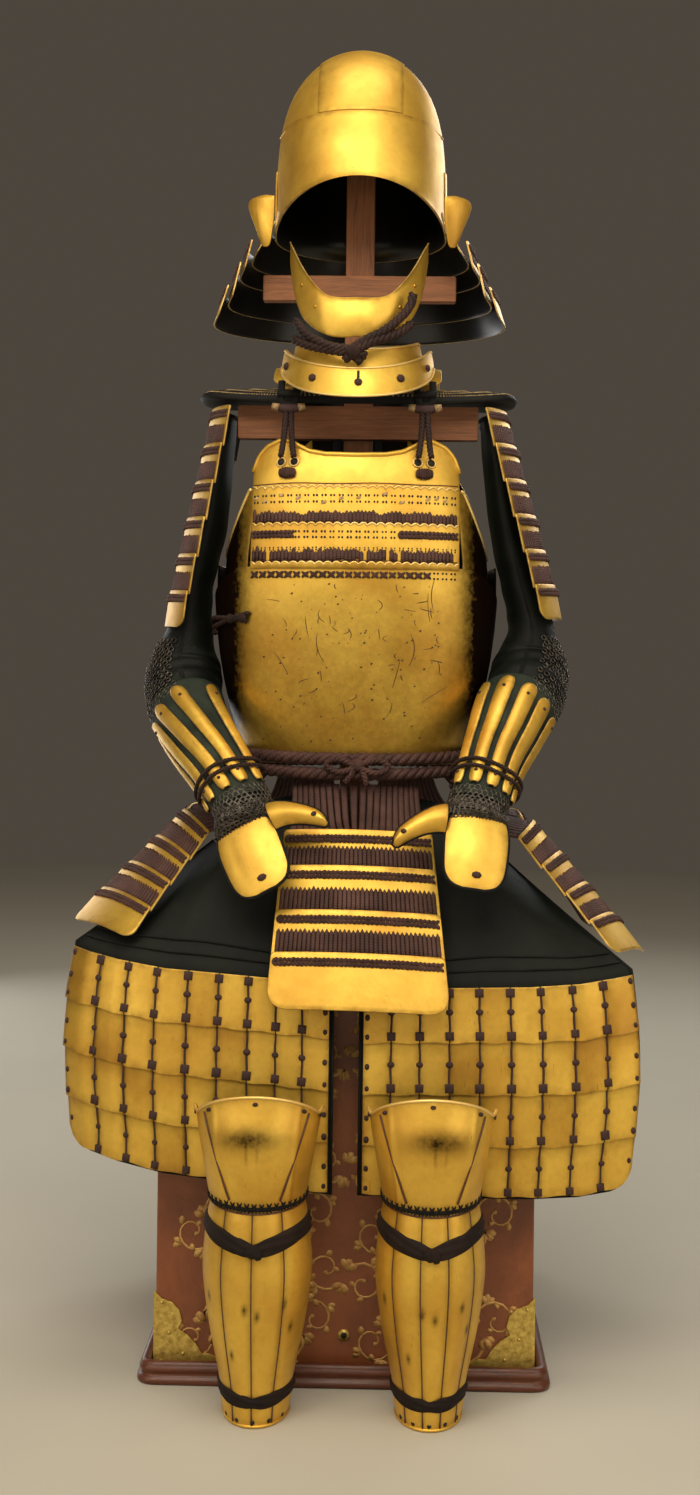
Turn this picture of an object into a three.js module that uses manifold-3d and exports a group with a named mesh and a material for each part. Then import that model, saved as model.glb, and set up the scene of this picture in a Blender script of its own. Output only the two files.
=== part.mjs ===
// A suit of Japanese lamellar armour (tosei gusoku) seated on its leather-covered chest, built as it is
// shown on its wooden stand: helmet, face and throat guard, cuirass, shoulder guards, sleeves, tassets,
// thigh guards and shin guards. Millimetres, +Z up, facing -Y. The wearer's right is -X, the left is +X.

import * as THREE from "three";
import { mergeVertices } from "three/addons/utils/BufferGeometryUtils.js";
import Module from "manifold-3d";

const wasm = await Module();
wasm.setup();

// ---------------------------------------------------------------- driving dimensions
const GAP = 0.4; // clearance between pieces that rest on each other
const SIDES = [
  { side: "right", s: -1 },
  { side: "left", s: 1 },
];

const TRAY = { width: 522, front: -230, back: 262, height: 28, floor: 9 };
const CHEST = { width: 478, front: -200, back: 232, top: 505, wall: 10 };
const LID = { width: 492, front: -207, back: 239, bottom: 440, top: 530, wall: 6, roof: 10 };
const CORNER = { width: 86, height: 99, thick: 2 };
const STAND = {
  foot: { width: 230, depth: 170, height: 18 },
  post: { width: 39, depth: 30 },
  shoulderBar: { width: 326, height: 45, depth: 21, z: 1213 },
  headBar: { width: 262, height: 34, depth: 20, z: 1401 },
};

const HELMET = { base: 1500, top: 1746, width: 116, front: 146, back: 132, wall: 3 };
const ARCH = { sideRim: 1490, rise: 52, sharpness: 1.35 }; // how the rim lifts over the brow
const BROW = { ridge: 1631, columns: 10, wall: 2.6 };

const CUIRASS = [
  // height, half width, depth in front of the axis, depth behind it
  { z: 776, w: 137, f: 116, b: 104 },
  { z: 800, w: 144, f: 124, b: 109 },
  { z: 860, w: 162, f: 137, b: 118 },
  { z: 930, w: 175, f: 144, b: 125 },
  { z: 1000, w: 181, f: 145, b: 129 },
  { z: 1060, w: 178, f: 141, b: 130 },
  { z: 1130, w: 168, f: 132, b: 126 },
  { z: 1180, w: 158, f: 121, b: 118 },
  { z: 1240, w: 142, f: 104, b: 104 },
];
const ROUNDNESS = 2.5; // exponent of the cuirass's superelliptic section
const PLATE = 2.2; // thickness of a lacquered plate
const LAYER = PLATE + 1; // one plate lying on another
const CHEST_EDGE = 137; // half width of the chest plate and the laced lames

const NECKLINE = [
  // half breadth from the centre, height of the chest plate's top edge
  { x: 0, z: 1182 },
  { x: 40, z: 1183 },
  { x: 61, z: 1187 },
  { x: 75, z: 1194 },
  { x: 88, z: 1202 },
  { x: 100, z: 1203 },
  { x: 118, z: 1195 },
  { x: 129, z: 1183 },
  { x: 137, z: 1162 },
];

// ---------------------------------------------------------------- small tools
const V = (x, y, z) => new THREE.Vector3(x, y, z);
const mix = (a, b, t) => a + (b - a) * t;
const clamp = (t) => Math.min(1, Math.max(0, t));
const radians = THREE.MathUtils.degToRad;
const steps = (count) => Array.from({ length: count + 1 }, (_, i) => i / count);

// Reads a column of a table whose rows are sorted by their key, in straight stretches.
function read(table, key, column, at) {
  const last = table.length - 1;
  if (at <= table[0][key]) return table[0][column];
  if (at >= table[last][key]) return table[last][column];
  const i = table.findIndex((row) => row[key] > at) - 1;
  const t = (at - table[i][key]) / (table[i + 1][key] - table[i][key]);
  return mix(table[i][column], table[i + 1][column], t);
}

// A closed mesh from corner triples; triangles with no area are left out, and it is turned to face out.
function closedMesh(triangles) {
  const kept = triangles.filter(
    ([a, b, c]) => a.distanceTo(b) > 1e-4 && b.distanceTo(c) > 1e-4 && c.distanceTo(a) > 1e-4,
  );
  const volume = kept.reduce((sum, [a, b, c]) => sum + a.dot(b.clone().cross(c)), 0);
  const facing = volume < 0 ? kept.map(([a, b, c]) => [a, c, b]) : kept;
  const numbers = facing.flat().flatMap((p) => [p.x, p.y, p.z]);
  const geometry = new THREE.BufferGeometry();
  geometry.setAttribute("position", new THREE.Float32BufferAttribute(numbers, 3));
  geometry.computeVertexNormals();
  return geometry;
}

const quad = (a, b, c, d) => [
  [a, b, c],
  [a, c, d],
];

// A wall between two grids of points, [row][column]. A ring's last column joins its first.
function skin(outer, inner, ring = false) {
  const rows = outer.length;
  const columns = outer[0].length;
  const made = [];
  const next = (j) => (ring ? (j + 1) % columns : j + 1);
  const spans = ring ? columns : columns - 1;
  for (let i = 0; i < rows - 1; i += 1) {
    for (let j = 0; j < spans; j += 1) {
      const k = next(j);
      made.push(...quad(outer[i][j], outer[i][k], outer[i + 1][k], outer[i + 1][j]));
      made.push(...quad(inner[i][j], inner[i + 1][j], inner[i + 1][k], inner[i][k]));
    }
  }
  for (let j = 0; j < spans; j += 1) {
    const k = next(j);
    made.push(...quad(outer[0][j], inner[0][j], inner[0][k], outer[0][k]));
    const r = rows - 1;
    made.push(...quad(outer[r][j], outer[r][k], inner[r][k], inner[r][j]));
  }
  if (!ring) {
    for (let i = 0; i < rows - 1; i += 1) {
      made.push(...quad(outer[i][0], outer[i + 1][0], inner[i + 1][0], inner[i][0]));
      const c = columns - 1;
      made.push(...quad(outer[i][c], inner[i][c], inner[i + 1][c], outer[i + 1][c]));
    }
  }
  return closedMesh(made);
}

// A solid through closed sections, with a flat fan on each end unless it closes on itself.
function loft(sections, looped = false) {
  const made = [];
  const sides = sections[0].length;
  const spans = looped ? sections.length : sections.length - 1;
  for (let i = 0; i < spans; i += 1) {
    const a = sections[i];
    const b = sections[(i + 1) % sections.length];
    for (let j = 0; j < sides; j += 1) {
      const k = (j + 1) % sides;
      made.push(...quad(a[j], a[k], b[k], b[j]));
    }
  }
  if (!looped) {
    const [first, last] = [sections[0], sections[sections.length - 1]];
    for (let j = 1; j < sides - 1; j += 1) {
      made.push([first[0], first[j + 1], first[j]]);
      made.push([last[0], last[j], last[j + 1]]);
    }
  }
  return closedMesh(made);
}

// Elliptic sections across a run of stations: centre, rx across the arm and ry along its other width.
function sections(stations, sides, grow = 0) {
  return stations.map((at, i) => {
    const before = stations[Math.max(0, i - 1)];
    const after = stations[Math.min(stations.length - 1, i + 1)];
    const along = V(after.x - before.x, after.y - before.y, after.z - before.z).normalize();
    const across = V(1, 0, 0).addScaledVector(along, -along.x).normalize();
    const other = along.clone().cross(across);
    return steps(sides)
      .slice(0, sides)
      .map((t) => {
        const turn = 2 * Math.PI * t;
        return V(at.x, at.y, at.z)
          .addScaledVector(across, (at.rx + grow) * Math.cos(turn))
          .addScaledVector(other, (at.ry + grow) * Math.sin(turn));
      });
  });
}

// A grid of points from a function of the row's and the column's share.
const grid = (rows, columns, point) => rows.map((v) => columns.map((u) => point(u, v)));

// A block by its centre in X, and its lowest and highest Y and Z.
function block(width, [y0, y1], [z0, z1], x = 0) {
  return new THREE.BoxGeometry(width, y1 - y0, z1 - z0).translate(x, (y0 + y1) / 2, (z0 + z1) / 2);
}

function solidOf(geometry) {
  const bare = new THREE.BufferGeometry();
  const flat = geometry.index ? geometry.toNonIndexed() : geometry;
  bare.setAttribute("position", flat.getAttribute("position").clone());
  const merged = mergeVertices(bare, 1e-3);
  return new wasm.Manifold(
    new wasm.Mesh({
      numProp: 3,
      vertProperties: merged.attributes.position.array,
      triVerts: new Uint32Array(merged.index.array),
    }),
  );
}

function geometryOf(solid) {
  const mesh = solid.getMesh();
  const geometry = new THREE.BufferGeometry();
  geometry.setAttribute("position", new THREE.Float32BufferAttribute(mesh.vertProperties, 3));
  geometry.setIndex(new THREE.BufferAttribute(new Uint32Array(mesh.triVerts), 1));
  const flat = geometry.toNonIndexed();
  flat.computeVertexNormals();
  return flat;
}

const cut = (whole, ...pieces) =>
  geometryOf(pieces.reduce((left, piece) => left.subtract(solidOf(piece)), solidOf(whole)));
const join = (...pieces) =>
  geometryOf(pieces.map(solidOf).reduce((sum, piece) => sum.add(piece)));

// ---------------------------------------------------------------- materials
const finish = (color, roughness, metalness) =>
  new THREE.MeshStandardMaterial({ color, roughness, metalness });
const GOLD = finish(0xd9a83a, 0.34, 0.75);
const BLACK_LACQUER = finish(0x14110f, 0.3, 0);
const LACE = finish(0x4a302b, 0.85, 0);
const CLOTH = finish(0x151a14, 0.75, 0);
const LEATHER = finish(0x6d4630, 0.6, 0);
const BRASS = finish(0xa98f45, 0.45, 0.8);
const ROSEWOOD = finish(0x4b241a, 0.4, 0);
const PINE = finish(0x8a6246, 0.7, 0);

const armour = new THREE.Group();
function add(name, geometry, material) {
  const mesh = new THREE.Mesh(geometry, material);
  mesh.name = name;
  armour.add(mesh);
  return mesh;
}

// ---------------------------------------------------------------- chest, tray and stand
function chestAndTray() {
  const { width, front, back, height, floor } = TRAY;
  const clear = 2 * CORNER.thick; // room for the brass mounts
  const well = block(
    CHEST.width + 2 * clear,
    [CHEST.front - clear, CHEST.back + clear],
    [floor, height + 1],
  );
  add("base_tray", cut(block(width, [front, back], [0, height]), well), ROSEWOOD);

  const seat = floor + GAP;
  const inside = block(
    CHEST.width - 2 * CHEST.wall,
    [CHEST.front + CHEST.wall, CHEST.back - CHEST.wall],
    [seat + CHEST.wall, CHEST.top + 1],
  );
  const body = block(CHEST.width, [CHEST.front, CHEST.back], [seat, CHEST.top]);
  add("chest_body", cut(body, inside), LEATHER);

  const cavity = block(
    LID.width - 2 * LID.wall,
    [LID.front + LID.wall, LID.back - LID.wall],
    [LID.bottom - 1, LID.top - LID.roof],
  );
  const lid = block(LID.width, [LID.front, LID.back], [LID.bottom, LID.top]);
  add("chest_lid", cut(lid, cavity), LEATHER);
}

// The outline of one leaf of a corner mount, from the corner: an ogee edge with a cusp half way.
function cornerLeaf() {
  const { width, height } = CORNER;
  const shape = new THREE.Shape();
  shape.moveTo(0, 0);
  shape.lineTo(width, 0);
  shape.lineTo(width, height * 0.1);
  shape.quadraticCurveTo(width * 0.88, height * 0.24, width * 0.72, height * 0.2);
  shape.quadraticCurveTo(width * 0.6, height * 0.42, width * 0.36, height * 0.52);
  shape.lineTo(width * 0.42, height * 0.62);
  shape.quadraticCurveTo(width * 0.4, height * 0.86, width * 0.12, height * 0.9);
  shape.lineTo(0, height);
  shape.closePath();
  return new THREE.ExtrudeGeometry(shape, {
    depth: CORNER.thick,
    bevelEnabled: false,
    curveSegments: 3,
  });
}

// Four sheet-brass mounts, each folded round an upright corner of the chest's foot.
function cornerMounts() {
  const z = TRAY.floor + 2 * GAP + 1;
  for (const { side, s } of SIDES) {
    for (const [end, y, toward] of [
      ["front", CHEST.front, -1],
      ["back", CHEST.back, 1],
    ]) {
      const x = (s * CHEST.width) / 2;
      const stand = new THREE.Matrix4().makeRotationX(Math.PI / 2);
      const face = cornerLeaf().applyMatrix4(stand);
      face.translate(0, CORNER.thick, 0); // now from y = 0 to y = thick, rising in z
      const wrap = new THREE.Matrix4().makeRotationZ(Math.PI / 2);
      const cheek = cornerLeaf().applyMatrix4(stand).applyMatrix4(wrap);
      // both leaves start at the outer corner and run along +x and +y
      const folded = join(face, cheek);
      folded.translate(-CORNER.thick - GAP, -CORNER.thick - GAP, 0);
      const flip = new THREE.Matrix4().makeScale(-s, -toward, 1);
      folded.applyMatrix4(flip);
      folded.translate(x, y, z);
      const made = s * toward < 0 ? turnedInsideOut(folded) : folded;
      add(`corner_${end}_${side}`, made, BRASS);
    }
  }
}

// A mirrored mesh has its faces reversed, so each triangle's corners are swapped back.
function turnedInsideOut(geometry) {
  const p = geometry.getAttribute("position");
  const triangles = [];
  for (let i = 0; i < p.count; i += 3) {
    triangles.push([0, 1, 2].map((k) => V(p.getX(i + k), p.getY(i + k), p.getZ(i + k))));
  }
  return closedMesh(triangles);
}

function stand() {
  const { foot, post, shoulderBar, headBar } = STAND;
  const footTop = LID.top + GAP + foot.height;
  const footBlock = block(foot.width, [-foot.depth / 2, foot.depth / 2], [LID.top + GAP, footTop]);
  const postTop = HELMET.top - HELMET.wall - 9;
  const half = post.depth / 2;
  const upright = block(post.width, [-half, half], [footTop - 1, postTop]);
  add("stand_post", join(footBlock, upright), PINE);
  for (const [name, bar] of [
    ["stand_shoulder_bar", shoulderBar],
    ["stand_head_bar", headBar],
  ]) {
    const back = -half - GAP;
    add(name, block(bar.width, [back - bar.depth, back], [bar.z, bar.z + bar.height]), PINE);
  }
}

// ---------------------------------------------------------------- helmet
// A point on the bowl: angle 0 is the brow and grows towards +X; out moves it off the surface.
function bowlPoint(angle, z, out = 0) {
  const rise = clamp((z - HELMET.base) / (HELMET.top - HELMET.base));
  const side = Math.pow(1 - Math.pow(rise, 2.9), 0.34);
  const front = Math.pow(1 - Math.pow(rise, 2), 0.5);
  const back = Math.pow(1 - Math.pow(rise, 2.6), 0.42);
  const cos = Math.cos(angle);
  const depth = cos > 0 ? HELMET.front * front : HELMET.back * back;
  return V(
    (HELMET.width * side + out) * Math.sin(angle),
    -(depth + out) * cos,
    z + out * Math.pow(rise, 3),
  );
}

// The rim runs level round the back and sides and lifts in an arch over the brow.
function rimHeight(angle) {
  const forward = Math.max(0, Math.cos(angle));
  return ARCH.sideRim + ARCH.rise * Math.pow(forward, ARCH.sharpness);
}

function helmetBowl() {
  const around = 24;
  const turns = steps(around)
    .slice(0, around)
    .map((t) => 2 * Math.PI * t);
  const levels = steps(6).map((t) => Math.sin((t * Math.PI) / 2));
  const face = (inset) =>
    levels.map((level) =>
      turns.map((angle) => {
        const top = HELMET.top - inset;
        const z = mix(rimHeight(angle), top, level);
        return level === 1 ? V(0, 0, top) : bowlPoint(angle, z, -inset);
      }),
    );
  add("helmet_bowl", skin(face(0), face(HELMET.wall), true), GOLD);

  const spread = 2 * Math.PI * (BROW.columns / 2 / around); // its corners lie over the bowl's
  const columns = steps(BROW.columns).map((t) => mix(-spread, spread, t));
  const brow = (out) =>
    steps(4).map((t) =>
      columns.map((angle) => bowlPoint(angle, mix(rimHeight(angle) - 2, BROW.ridge, t), out)),
    );
  add("helmet_brow", skin(brow(1.5 + BROW.wall), brow(1.5)), GOLD);
}

// Small turn-backs that face forward beside the brow.
function turnBacks() {
  for (const { side, s } of SIDES) {
    const shape = new THREE.Shape();
    shape.moveTo(0, 0);
    shape.quadraticCurveTo(15, 5, 33, 0);
    shape.quadraticCurveTo(41, -5, 38, -16);
    shape.lineTo(19, -62);
    shape.quadraticCurveTo(12, -68, 6, -62);
    shape.lineTo(0, -22);
    shape.closePath();
    const plate = new THREE.ExtrudeGeometry(shape, {
      depth: 2.6,
      bevelEnabled: false,
      curveSegments: 4,
    });
    plate.rotateX(Math.PI / 2);
    plate.rotateZ(radians(26));
    const mirrored = s < 0;
    if (mirrored) plate.scale(-1, 1, 1);
    const made = mirrored ? turnedInsideOut(plate) : plate;
    made.translate(s * 112, -98, 1526);
    add(`turn_back_${side}`, made, GOLD);
  }
}

// The neck guard: four flared lames, each hung outside the one above it.
const NECK_LAMES = [
  { top: 1499, bottom: 1455, w0: 122, w1: 147, d0: 139, d1: 149 },
  { top: 1474, bottom: 1434, w0: 153, w1: 163, d0: 152, d1: 158 },
  { top: 1444, bottom: 1397, w0: 168, w1: 179, d0: 161, d1: 167 },
  { top: 1413, bottom: 1370, w0: 184, w1: 198, d0: 170, d1: 178 },
];
const NECK_STRAIGHT = { share: 0.24, length: 84, centre: 2 };

// Plan of a lame: half an ellipse round the nape, then straight cheeks towards the face.
function neckPoint(u, halfWidth, depth, z) {
  const bend = 1 - NECK_STRAIGHT.share;
  const away = Math.abs(u);
  const side = Math.sign(u);
  if (away <= bend) {
    const turn = (away / bend) * (Math.PI / 2);
    const y = NECK_STRAIGHT.centre + depth * Math.cos(turn);
    return V(side * halfWidth * Math.sin(turn), y, z + 8 * Math.cos(turn));
  }
  const forward = (away - bend) / NECK_STRAIGHT.share;
  return V(side * halfWidth, NECK_STRAIGHT.centre - forward * NECK_STRAIGHT.length, z);
}

function neckGuard() {
  const bend = 1 - NECK_STRAIGHT.share;
  const arc = steps(12).map((t) => mix(-bend, bend, t));
  const columns = [-1, ...arc, 1];
  NECK_LAMES.forEach((lame, i) => {
    const face = (out) =>
      steps(1).map((t) =>
        columns.map((u) =>
          neckPoint(
            u,
            mix(lame.w0, lame.w1, t) + out,
            mix(lame.d0, lame.d1, t) + out,
            mix(lame.top, lame.bottom, t),
          ),
        ),
      );
    add(`neck_lame_${i + 1}`, skin(face(PLATE), face(0)), GOLD);
  });
}

// ---------------------------------------------------------------- face and throat guard
const MASK = { width: 92, depth: 92, centre: -56, wall: 2.4, spread: 78 };
const MASK_EDGES = [
  // angle from the chin, height of the lower edge, height of the upper edge, swell of the chin
  { a: 0, low: 1331, high: 1382, swell: 5 },
  { a: 13, low: 1333, high: 1383, swell: 6 },
  { a: 26, low: 1350, high: 1389, swell: 3 },
  { a: 39, low: 1370, high: 1409, swell: 0 },
  { a: 52, low: 1393, high: 1434, swell: 0 },
  { a: 65, low: 1423, high: 1458, swell: 0 },
  { a: 78, low: 1458, high: 1473, swell: 0 },
];

function mask() {
  const columns = steps(12).map((t) => mix(-MASK.spread, MASK.spread, t));
  const face = (out) =>
    steps(3).map((t) =>
      columns.map((degrees) => {
        const a = radians(degrees);
        const edge = (column) => read(MASK_EDGES, "a", column, Math.abs(degrees));
        const belly = edge("swell") * Math.sin(Math.PI * t) + 4 * (1 - t) * Math.cos(a);
        const r = out + belly;
        return V(
          (MASK.width + out) * Math.sin(a),
          MASK.centre - (MASK.depth + r) * Math.cos(a),
          mix(edge("low"), edge("high"), t),
        );
      }),
    );
  add("mask", skin(face(MASK.wall), face(0)), GOLD);
}

// Two lames that hang from the mask over the throat, the lower one outside.
const THROAT_LAMES = [
  { w0: 82, w1: 88, d0: 82, d1: 95, top: 1318, bottom: 1274, lift: 26, sweep: 76 },
  { w0: 96, w1: 101, d0: 100, d1: 112, top: 1290, bottom: 1250, lift: 46, sweep: 82 },
];
const THROAT_CENTRE = -60;

function throatGuard() {
  THROAT_LAMES.forEach((lame, i) => {
    const columns = steps(12).map((t) => mix(-1, 1, t));
    const face = (out) =>
      steps(1).map((t) =>
        columns.map((u) => {
          const a = radians(lame.sweep * u);
          const ends = Math.pow(Math.abs(u), 6); // the ends are rounded off
          const z = mix(lame.top, lame.bottom + 14 * ends, t) + lame.lift * (1 - Math.cos(a));
          return V(
            (mix(lame.w0, lame.w1, t) + out) * Math.sin(a),
            THROAT_CENTRE - (mix(lame.d0, lame.d1, t) + out) * Math.cos(a),
            z,
          );
        }),
      );
    add(`throat_lame_${i + 1}`, skin(face(PLATE), face(0)), GOLD);
  });
}

// ---------------------------------------------------------------- cuirass
// A point on the cuirass: angle 0 is the breast and grows towards +X; out moves it off the surface.
function torsoPoint(angle, z, out = 0) {
  const power = 2 / ROUNDNESS;
  const sin = Math.sin(angle);
  const cos = Math.cos(angle);
  const depth = read(CUIRASS, "z", cos > 0 ? "f" : "b", z) + out;
  return V(
    (read(CUIRASS, "z", "w", z) + out) * Math.sign(sin) * Math.pow(Math.abs(sin), power),
    -depth * Math.sign(cos) * Math.pow(Math.abs(cos), power),
    z,
  );
}

// The angle at which the cuirass is x from its middle, on the breast side.
function angleAt(x, z, out = 0) {
  const share = Math.abs(x) / (read(CUIRASS, "z", "w", z) + out);
  return Math.sign(x) * Math.asin(Math.min(1, Math.pow(share, ROUNDNESS / 2)));
}

// Half the breast is wrapped by plates that end at the same breadth at every height.
function breastPlate(low, high, layer, rows) {
  const columns = steps(14).map((t) => mix(-CHEST_EDGE, CHEST_EDGE, t));
  const face = (out) =>
    steps(rows).map((t) =>
      columns.map((x) => {
        const z = mix(low(x), high(x), t);
        return torsoPoint(angleAt(x, z, out), z, out);
      }),
    );
  return skin(face(layer + PLATE), face(layer));
}

// A plate that wraps the body between two angles, each edge a height as a function of the angle.
function wrapPlate([from, to], low, high, layer, [rows, columns]) {
  const turns = steps(columns).map((t) => radians(mix(from, to, t)));
  const face = (out) =>
    steps(rows).map((t) =>
      turns.map((angle) => torsoPoint(angle, mix(low(angle), high(angle), t), out)),
    );
  return skin(face(layer + PLATE), face(layer));
}

// The armhole dips to the armpit at the side of the body.
const ARMHOLE = { pit: 1052, shoulder: 1138, reach: 34 };
function armhole(angle) {
  const away = Math.abs(Math.abs(angle) - Math.PI / 2) / radians(ARMHOLE.reach);
  return mix(ARMHOLE.pit, ARMHOLE.shoulder, Math.pow(clamp(away), 1.7));
}

function cuirass() {
  const neck = (x) => read(NECKLINE, "x", "z", Math.abs(x));
  const top = (z) => () => z;
  add("chest_plate", breastPlate(top(1136), neck, 0, 2), GOLD);
  add("chest_lame_1", breastPlate(top(1086), top(1144), LAYER, 1), GOLD);
  add("chest_lame_2", breastPlate(top(1038), top(1094), 2 * LAYER, 1), GOLD);
  add("belly_plate", wrapPlate([-89, 89], top(776), top(1044), 3 * LAYER, [4, 18]), GOLD);
  for (const { side, s } of SIDES) {
    const made = wrapPlate([s * 56, s * 124], top(1028), armhole, -LAYER, [2, 6]);
    add(`armpit_plate_${side}`, made, GOLD);
  }
  add("back_lower", wrapPlate([91, 269], top(776), top(1044), 3 * LAYER, [3, 12]), GOLD);
  const nape = (angle) => {
    const away = Math.abs(angle - Math.PI) / radians(64);
    return mix(1226, 1138, Math.pow(clamp(away), 3)) + 14 * Math.sin(clamp(away * 1.3) * Math.PI);
  };
  const back = wrapPlate([116, 244], top(1038), nape, LAYER, [3, 12]);
  add("back_upper", join(back, ...SIDES.map(({ s }) => shoulderStrap(s))), GOLD);
}

// A shoulder strap: a stiff arc riveted to the back plate that comes forward over the shoulder.
const STRAP = { x: 90, width: 44, thick: 4 };
const STRAP_ARC = [
  { y: 103, z: 1196 },
  { y: 104, z: 1236 },
  { y: 98, z: 1272 },
  { y: 84, z: 1294 },
  { y: 50, z: 1307 },
  { y: -10, z: 1309 },
  { y: -60, z: 1297 },
  { y: -88, z: 1276 },
];

function shoulderStrap(s) {
  const outline = STRAP_ARC.map((at, i) => {
    const before = STRAP_ARC[Math.max(0, i - 1)];
    const after = STRAP_ARC[Math.min(STRAP_ARC.length - 1, i + 1)];
    const out = V(0, after.z - before.z, before.y - after.y).normalize();
    const corner = (w, t) =>
      V(s * STRAP.x + (w * STRAP.width) / 2, at.y, at.z).addScaledVector(out, t * STRAP.thick);
    return [corner(-1, 0), corner(1, 0), corner(1, 1), corner(-1, 1)];
  });
  return loft(outline);
}

// The quilted shoulder yoke, a padded collar plate that droops at its ends and its front.
const YOKE = { halfWidth: 217, halfDepth: 80, neckWidth: 76, neckDepth: 62, thick: 13, top: 1281 };

function yoke() {
  const around = 28;
  const turns = steps(around)
    .slice(0, around)
    .map((t) => 2 * Math.PI * t);
  const face = (lift) =>
    steps(2).map((t) =>
      turns.map((turn) => {
        const cos = Math.cos(turn);
        const sin = Math.sin(turn);
        const squared = (v, n) => Math.sign(v) * Math.pow(Math.abs(v), n);
        const x = mix(YOKE.neckWidth * cos, YOKE.halfWidth * squared(cos, 0.6), t);
        const y = mix(YOKE.neckDepth * sin, YOKE.halfDepth * squared(sin, 0.6), t) + 4;
        const droop = 5 * Math.pow(Math.abs(x) / YOKE.halfWidth, 2);
        const lip = 13 * Math.pow(clamp((-y - 40) / 36), 1.5);
        return V(x, y, YOKE.top - droop - lip + lift);
      }),
    );
  add("shoulder_yoke", skin(face(0), face(-YOKE.thick), true), CLOTH);
}

// The waist cord: two turns of thick braid lying side by side, under the cuirass's hem.
function waistCord() {
  const around = 28;
  const profile = [
    [0, 5],
    [8, 0],
    [15, 8],
    [12, 19],
    [15, 30],
    [7, 38],
  ];
  const rings = steps(around)
    .slice(0, around)
    .map((t) => {
      const angle = 2 * Math.PI * t;
      const sag = 6 * Math.pow(Math.max(0, Math.cos(angle)), 3);
      return profile.map(([out, up]) => {
        const at = torsoPoint(angle, 776, 3 * LAYER + PLATE + 4 + out);
        return V(at.x, at.y, 758 + up - sag);
      });
    });
  add("waist_cord", loft(rings, true), LACE);
}

// ---------------------------------------------------------------- laced panels
// A wall of lames laced one below another. place(u, v, out) is a point of the panel, u from -1 to 1
// across it and v from 0 to 1 down it. Each lame's top stands top off the panel and its foot foot.
function lamedPanel(place, lames, { top, foot, thick, columns = 8, lead = [], corner = 0 }) {
  const across = steps(columns).map((t) => mix(-1, 1, t));
  const rows = lead.map((v) => ({ v, out: 0 }));
  for (let k = 0; k < lames; k += 1) {
    rows.push({ v: k / lames, out: top });
    rows.push({ v: (k + 1) / lames - (k === lames - 1 ? 0 : 0.006), out: foot, last: k === lames - 1 });
  }
  const face = (lift) =>
    rows.map(({ v, out, last }) =>
      across.map((u) => {
        const trim = last && Math.abs(u) > 0.99 ? corner : 0;
        return place(u, v - trim, out + lift);
      }),
    );
  return skin(face(thick), face(0));
}

// ---------------------------------------------------------------- shoulder guards
const SODE = {
  right: { topX: 203, bottomX: 268, top: 1254, bottom: 957 },
  left: { topX: 205, bottomX: 287, top: 1254, bottom: 973 },
};
const SODE_SECTION = { lames: 6, radius: 150, y: 6 };
const SODE_SWEEP = 38; // degrees either side of the guard's middle

function shoulderGuards() {
  for (const { side, s } of SIDES) {
    const { topX, bottomX, top, bottom } = SODE[side];
    const place = (u, v, out) => {
      const turn = radians(SODE_SWEEP * u);
      const r = SODE_SECTION.radius + out;
      const x = mix(topX, bottomX, v) - 7 + r * Math.cos(turn) - SODE_SECTION.radius;
      return V(s * x, SODE_SECTION.y + r * Math.sin(turn), mix(top, bottom, v) - 3 * u * u);
    };
    const shape = { top: 4, foot: 0, thick: 2.4, columns: 6, corner: 0.025 };
    add(`shoulder_guard_${side}`, lamedPanel(place, SODE_SECTION.lames, shape), GOLD);
  }
}

// ---------------------------------------------------------------- sleeves and hands
// Centres and radii of the cloth sleeve from the shoulder round the elbow to the wrist.
const SLEEVES = {
  right: [
    { x: -178, y: 2, z: 1248, rx: 11, ry: 40 },
    { x: -188, y: 4, z: 1190, rx: 17, ry: 46 },
    { x: -202, y: 6, z: 1100, rx: 22, ry: 48 },
    { x: -223, y: 8, z: 1010, rx: 25, ry: 48 },
    { x: -229, y: 6, z: 950, rx: 32, ry: 50 },
    { x: -233, y: -6, z: 897, rx: 50, ry: 52 },
    { x: -229, y: -42, z: 857, rx: 51, ry: 49 },
    { x: -210, y: -92, z: 826, rx: 46, ry: 42 },
    { x: -187, y: -138, z: 796, rx: 42, ry: 37 },
    { x: -160, y: -180, z: 763, rx: 38, ry: 32 },
    { x: -137, y: -210, z: 729, rx: 36, ry: 28 },
    { x: -129, y: -221, z: 712, rx: 37, ry: 26 },
  ],
  left: [
    { x: 178, y: 2, z: 1248, rx: 11, ry: 40 },
    { x: 188, y: 4, z: 1190, rx: 17, ry: 46 },
    { x: 203, y: 6, z: 1100, rx: 22, ry: 48 },
    { x: 228, y: 8, z: 1010, rx: 28, ry: 48 },
    { x: 240, y: 6, z: 958, rx: 32, ry: 50 },
    { x: 238, y: -8, z: 908, rx: 50, ry: 52 },
    { x: 229, y: -50, z: 870, rx: 53, ry: 49 },
    { x: 207, y: -96, z: 837, rx: 50, ry: 43 },
    { x: 190, y: -138, z: 802, rx: 44, ry: 37 },
    { x: 174, y: -180, z: 768, rx: 38, ry: 32 },
    { x: 162, y: -210, z: 733, rx: 36, ry: 28 },
    { x: 157, y: -221, z: 717, rx: 37, ry: 26 },
  ],
};
const SLEEVE_WALL = 2;

function sleeves() {
  for (const { side } of SIDES) {
    const outer = sections(SLEEVES[side], 12);
    const inner = sections(SLEEVES[side], 12, -SLEEVE_WALL);
    add(`sleeve_${side}`, skin(outer, inner, true), CLOTH);
  }
}

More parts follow.
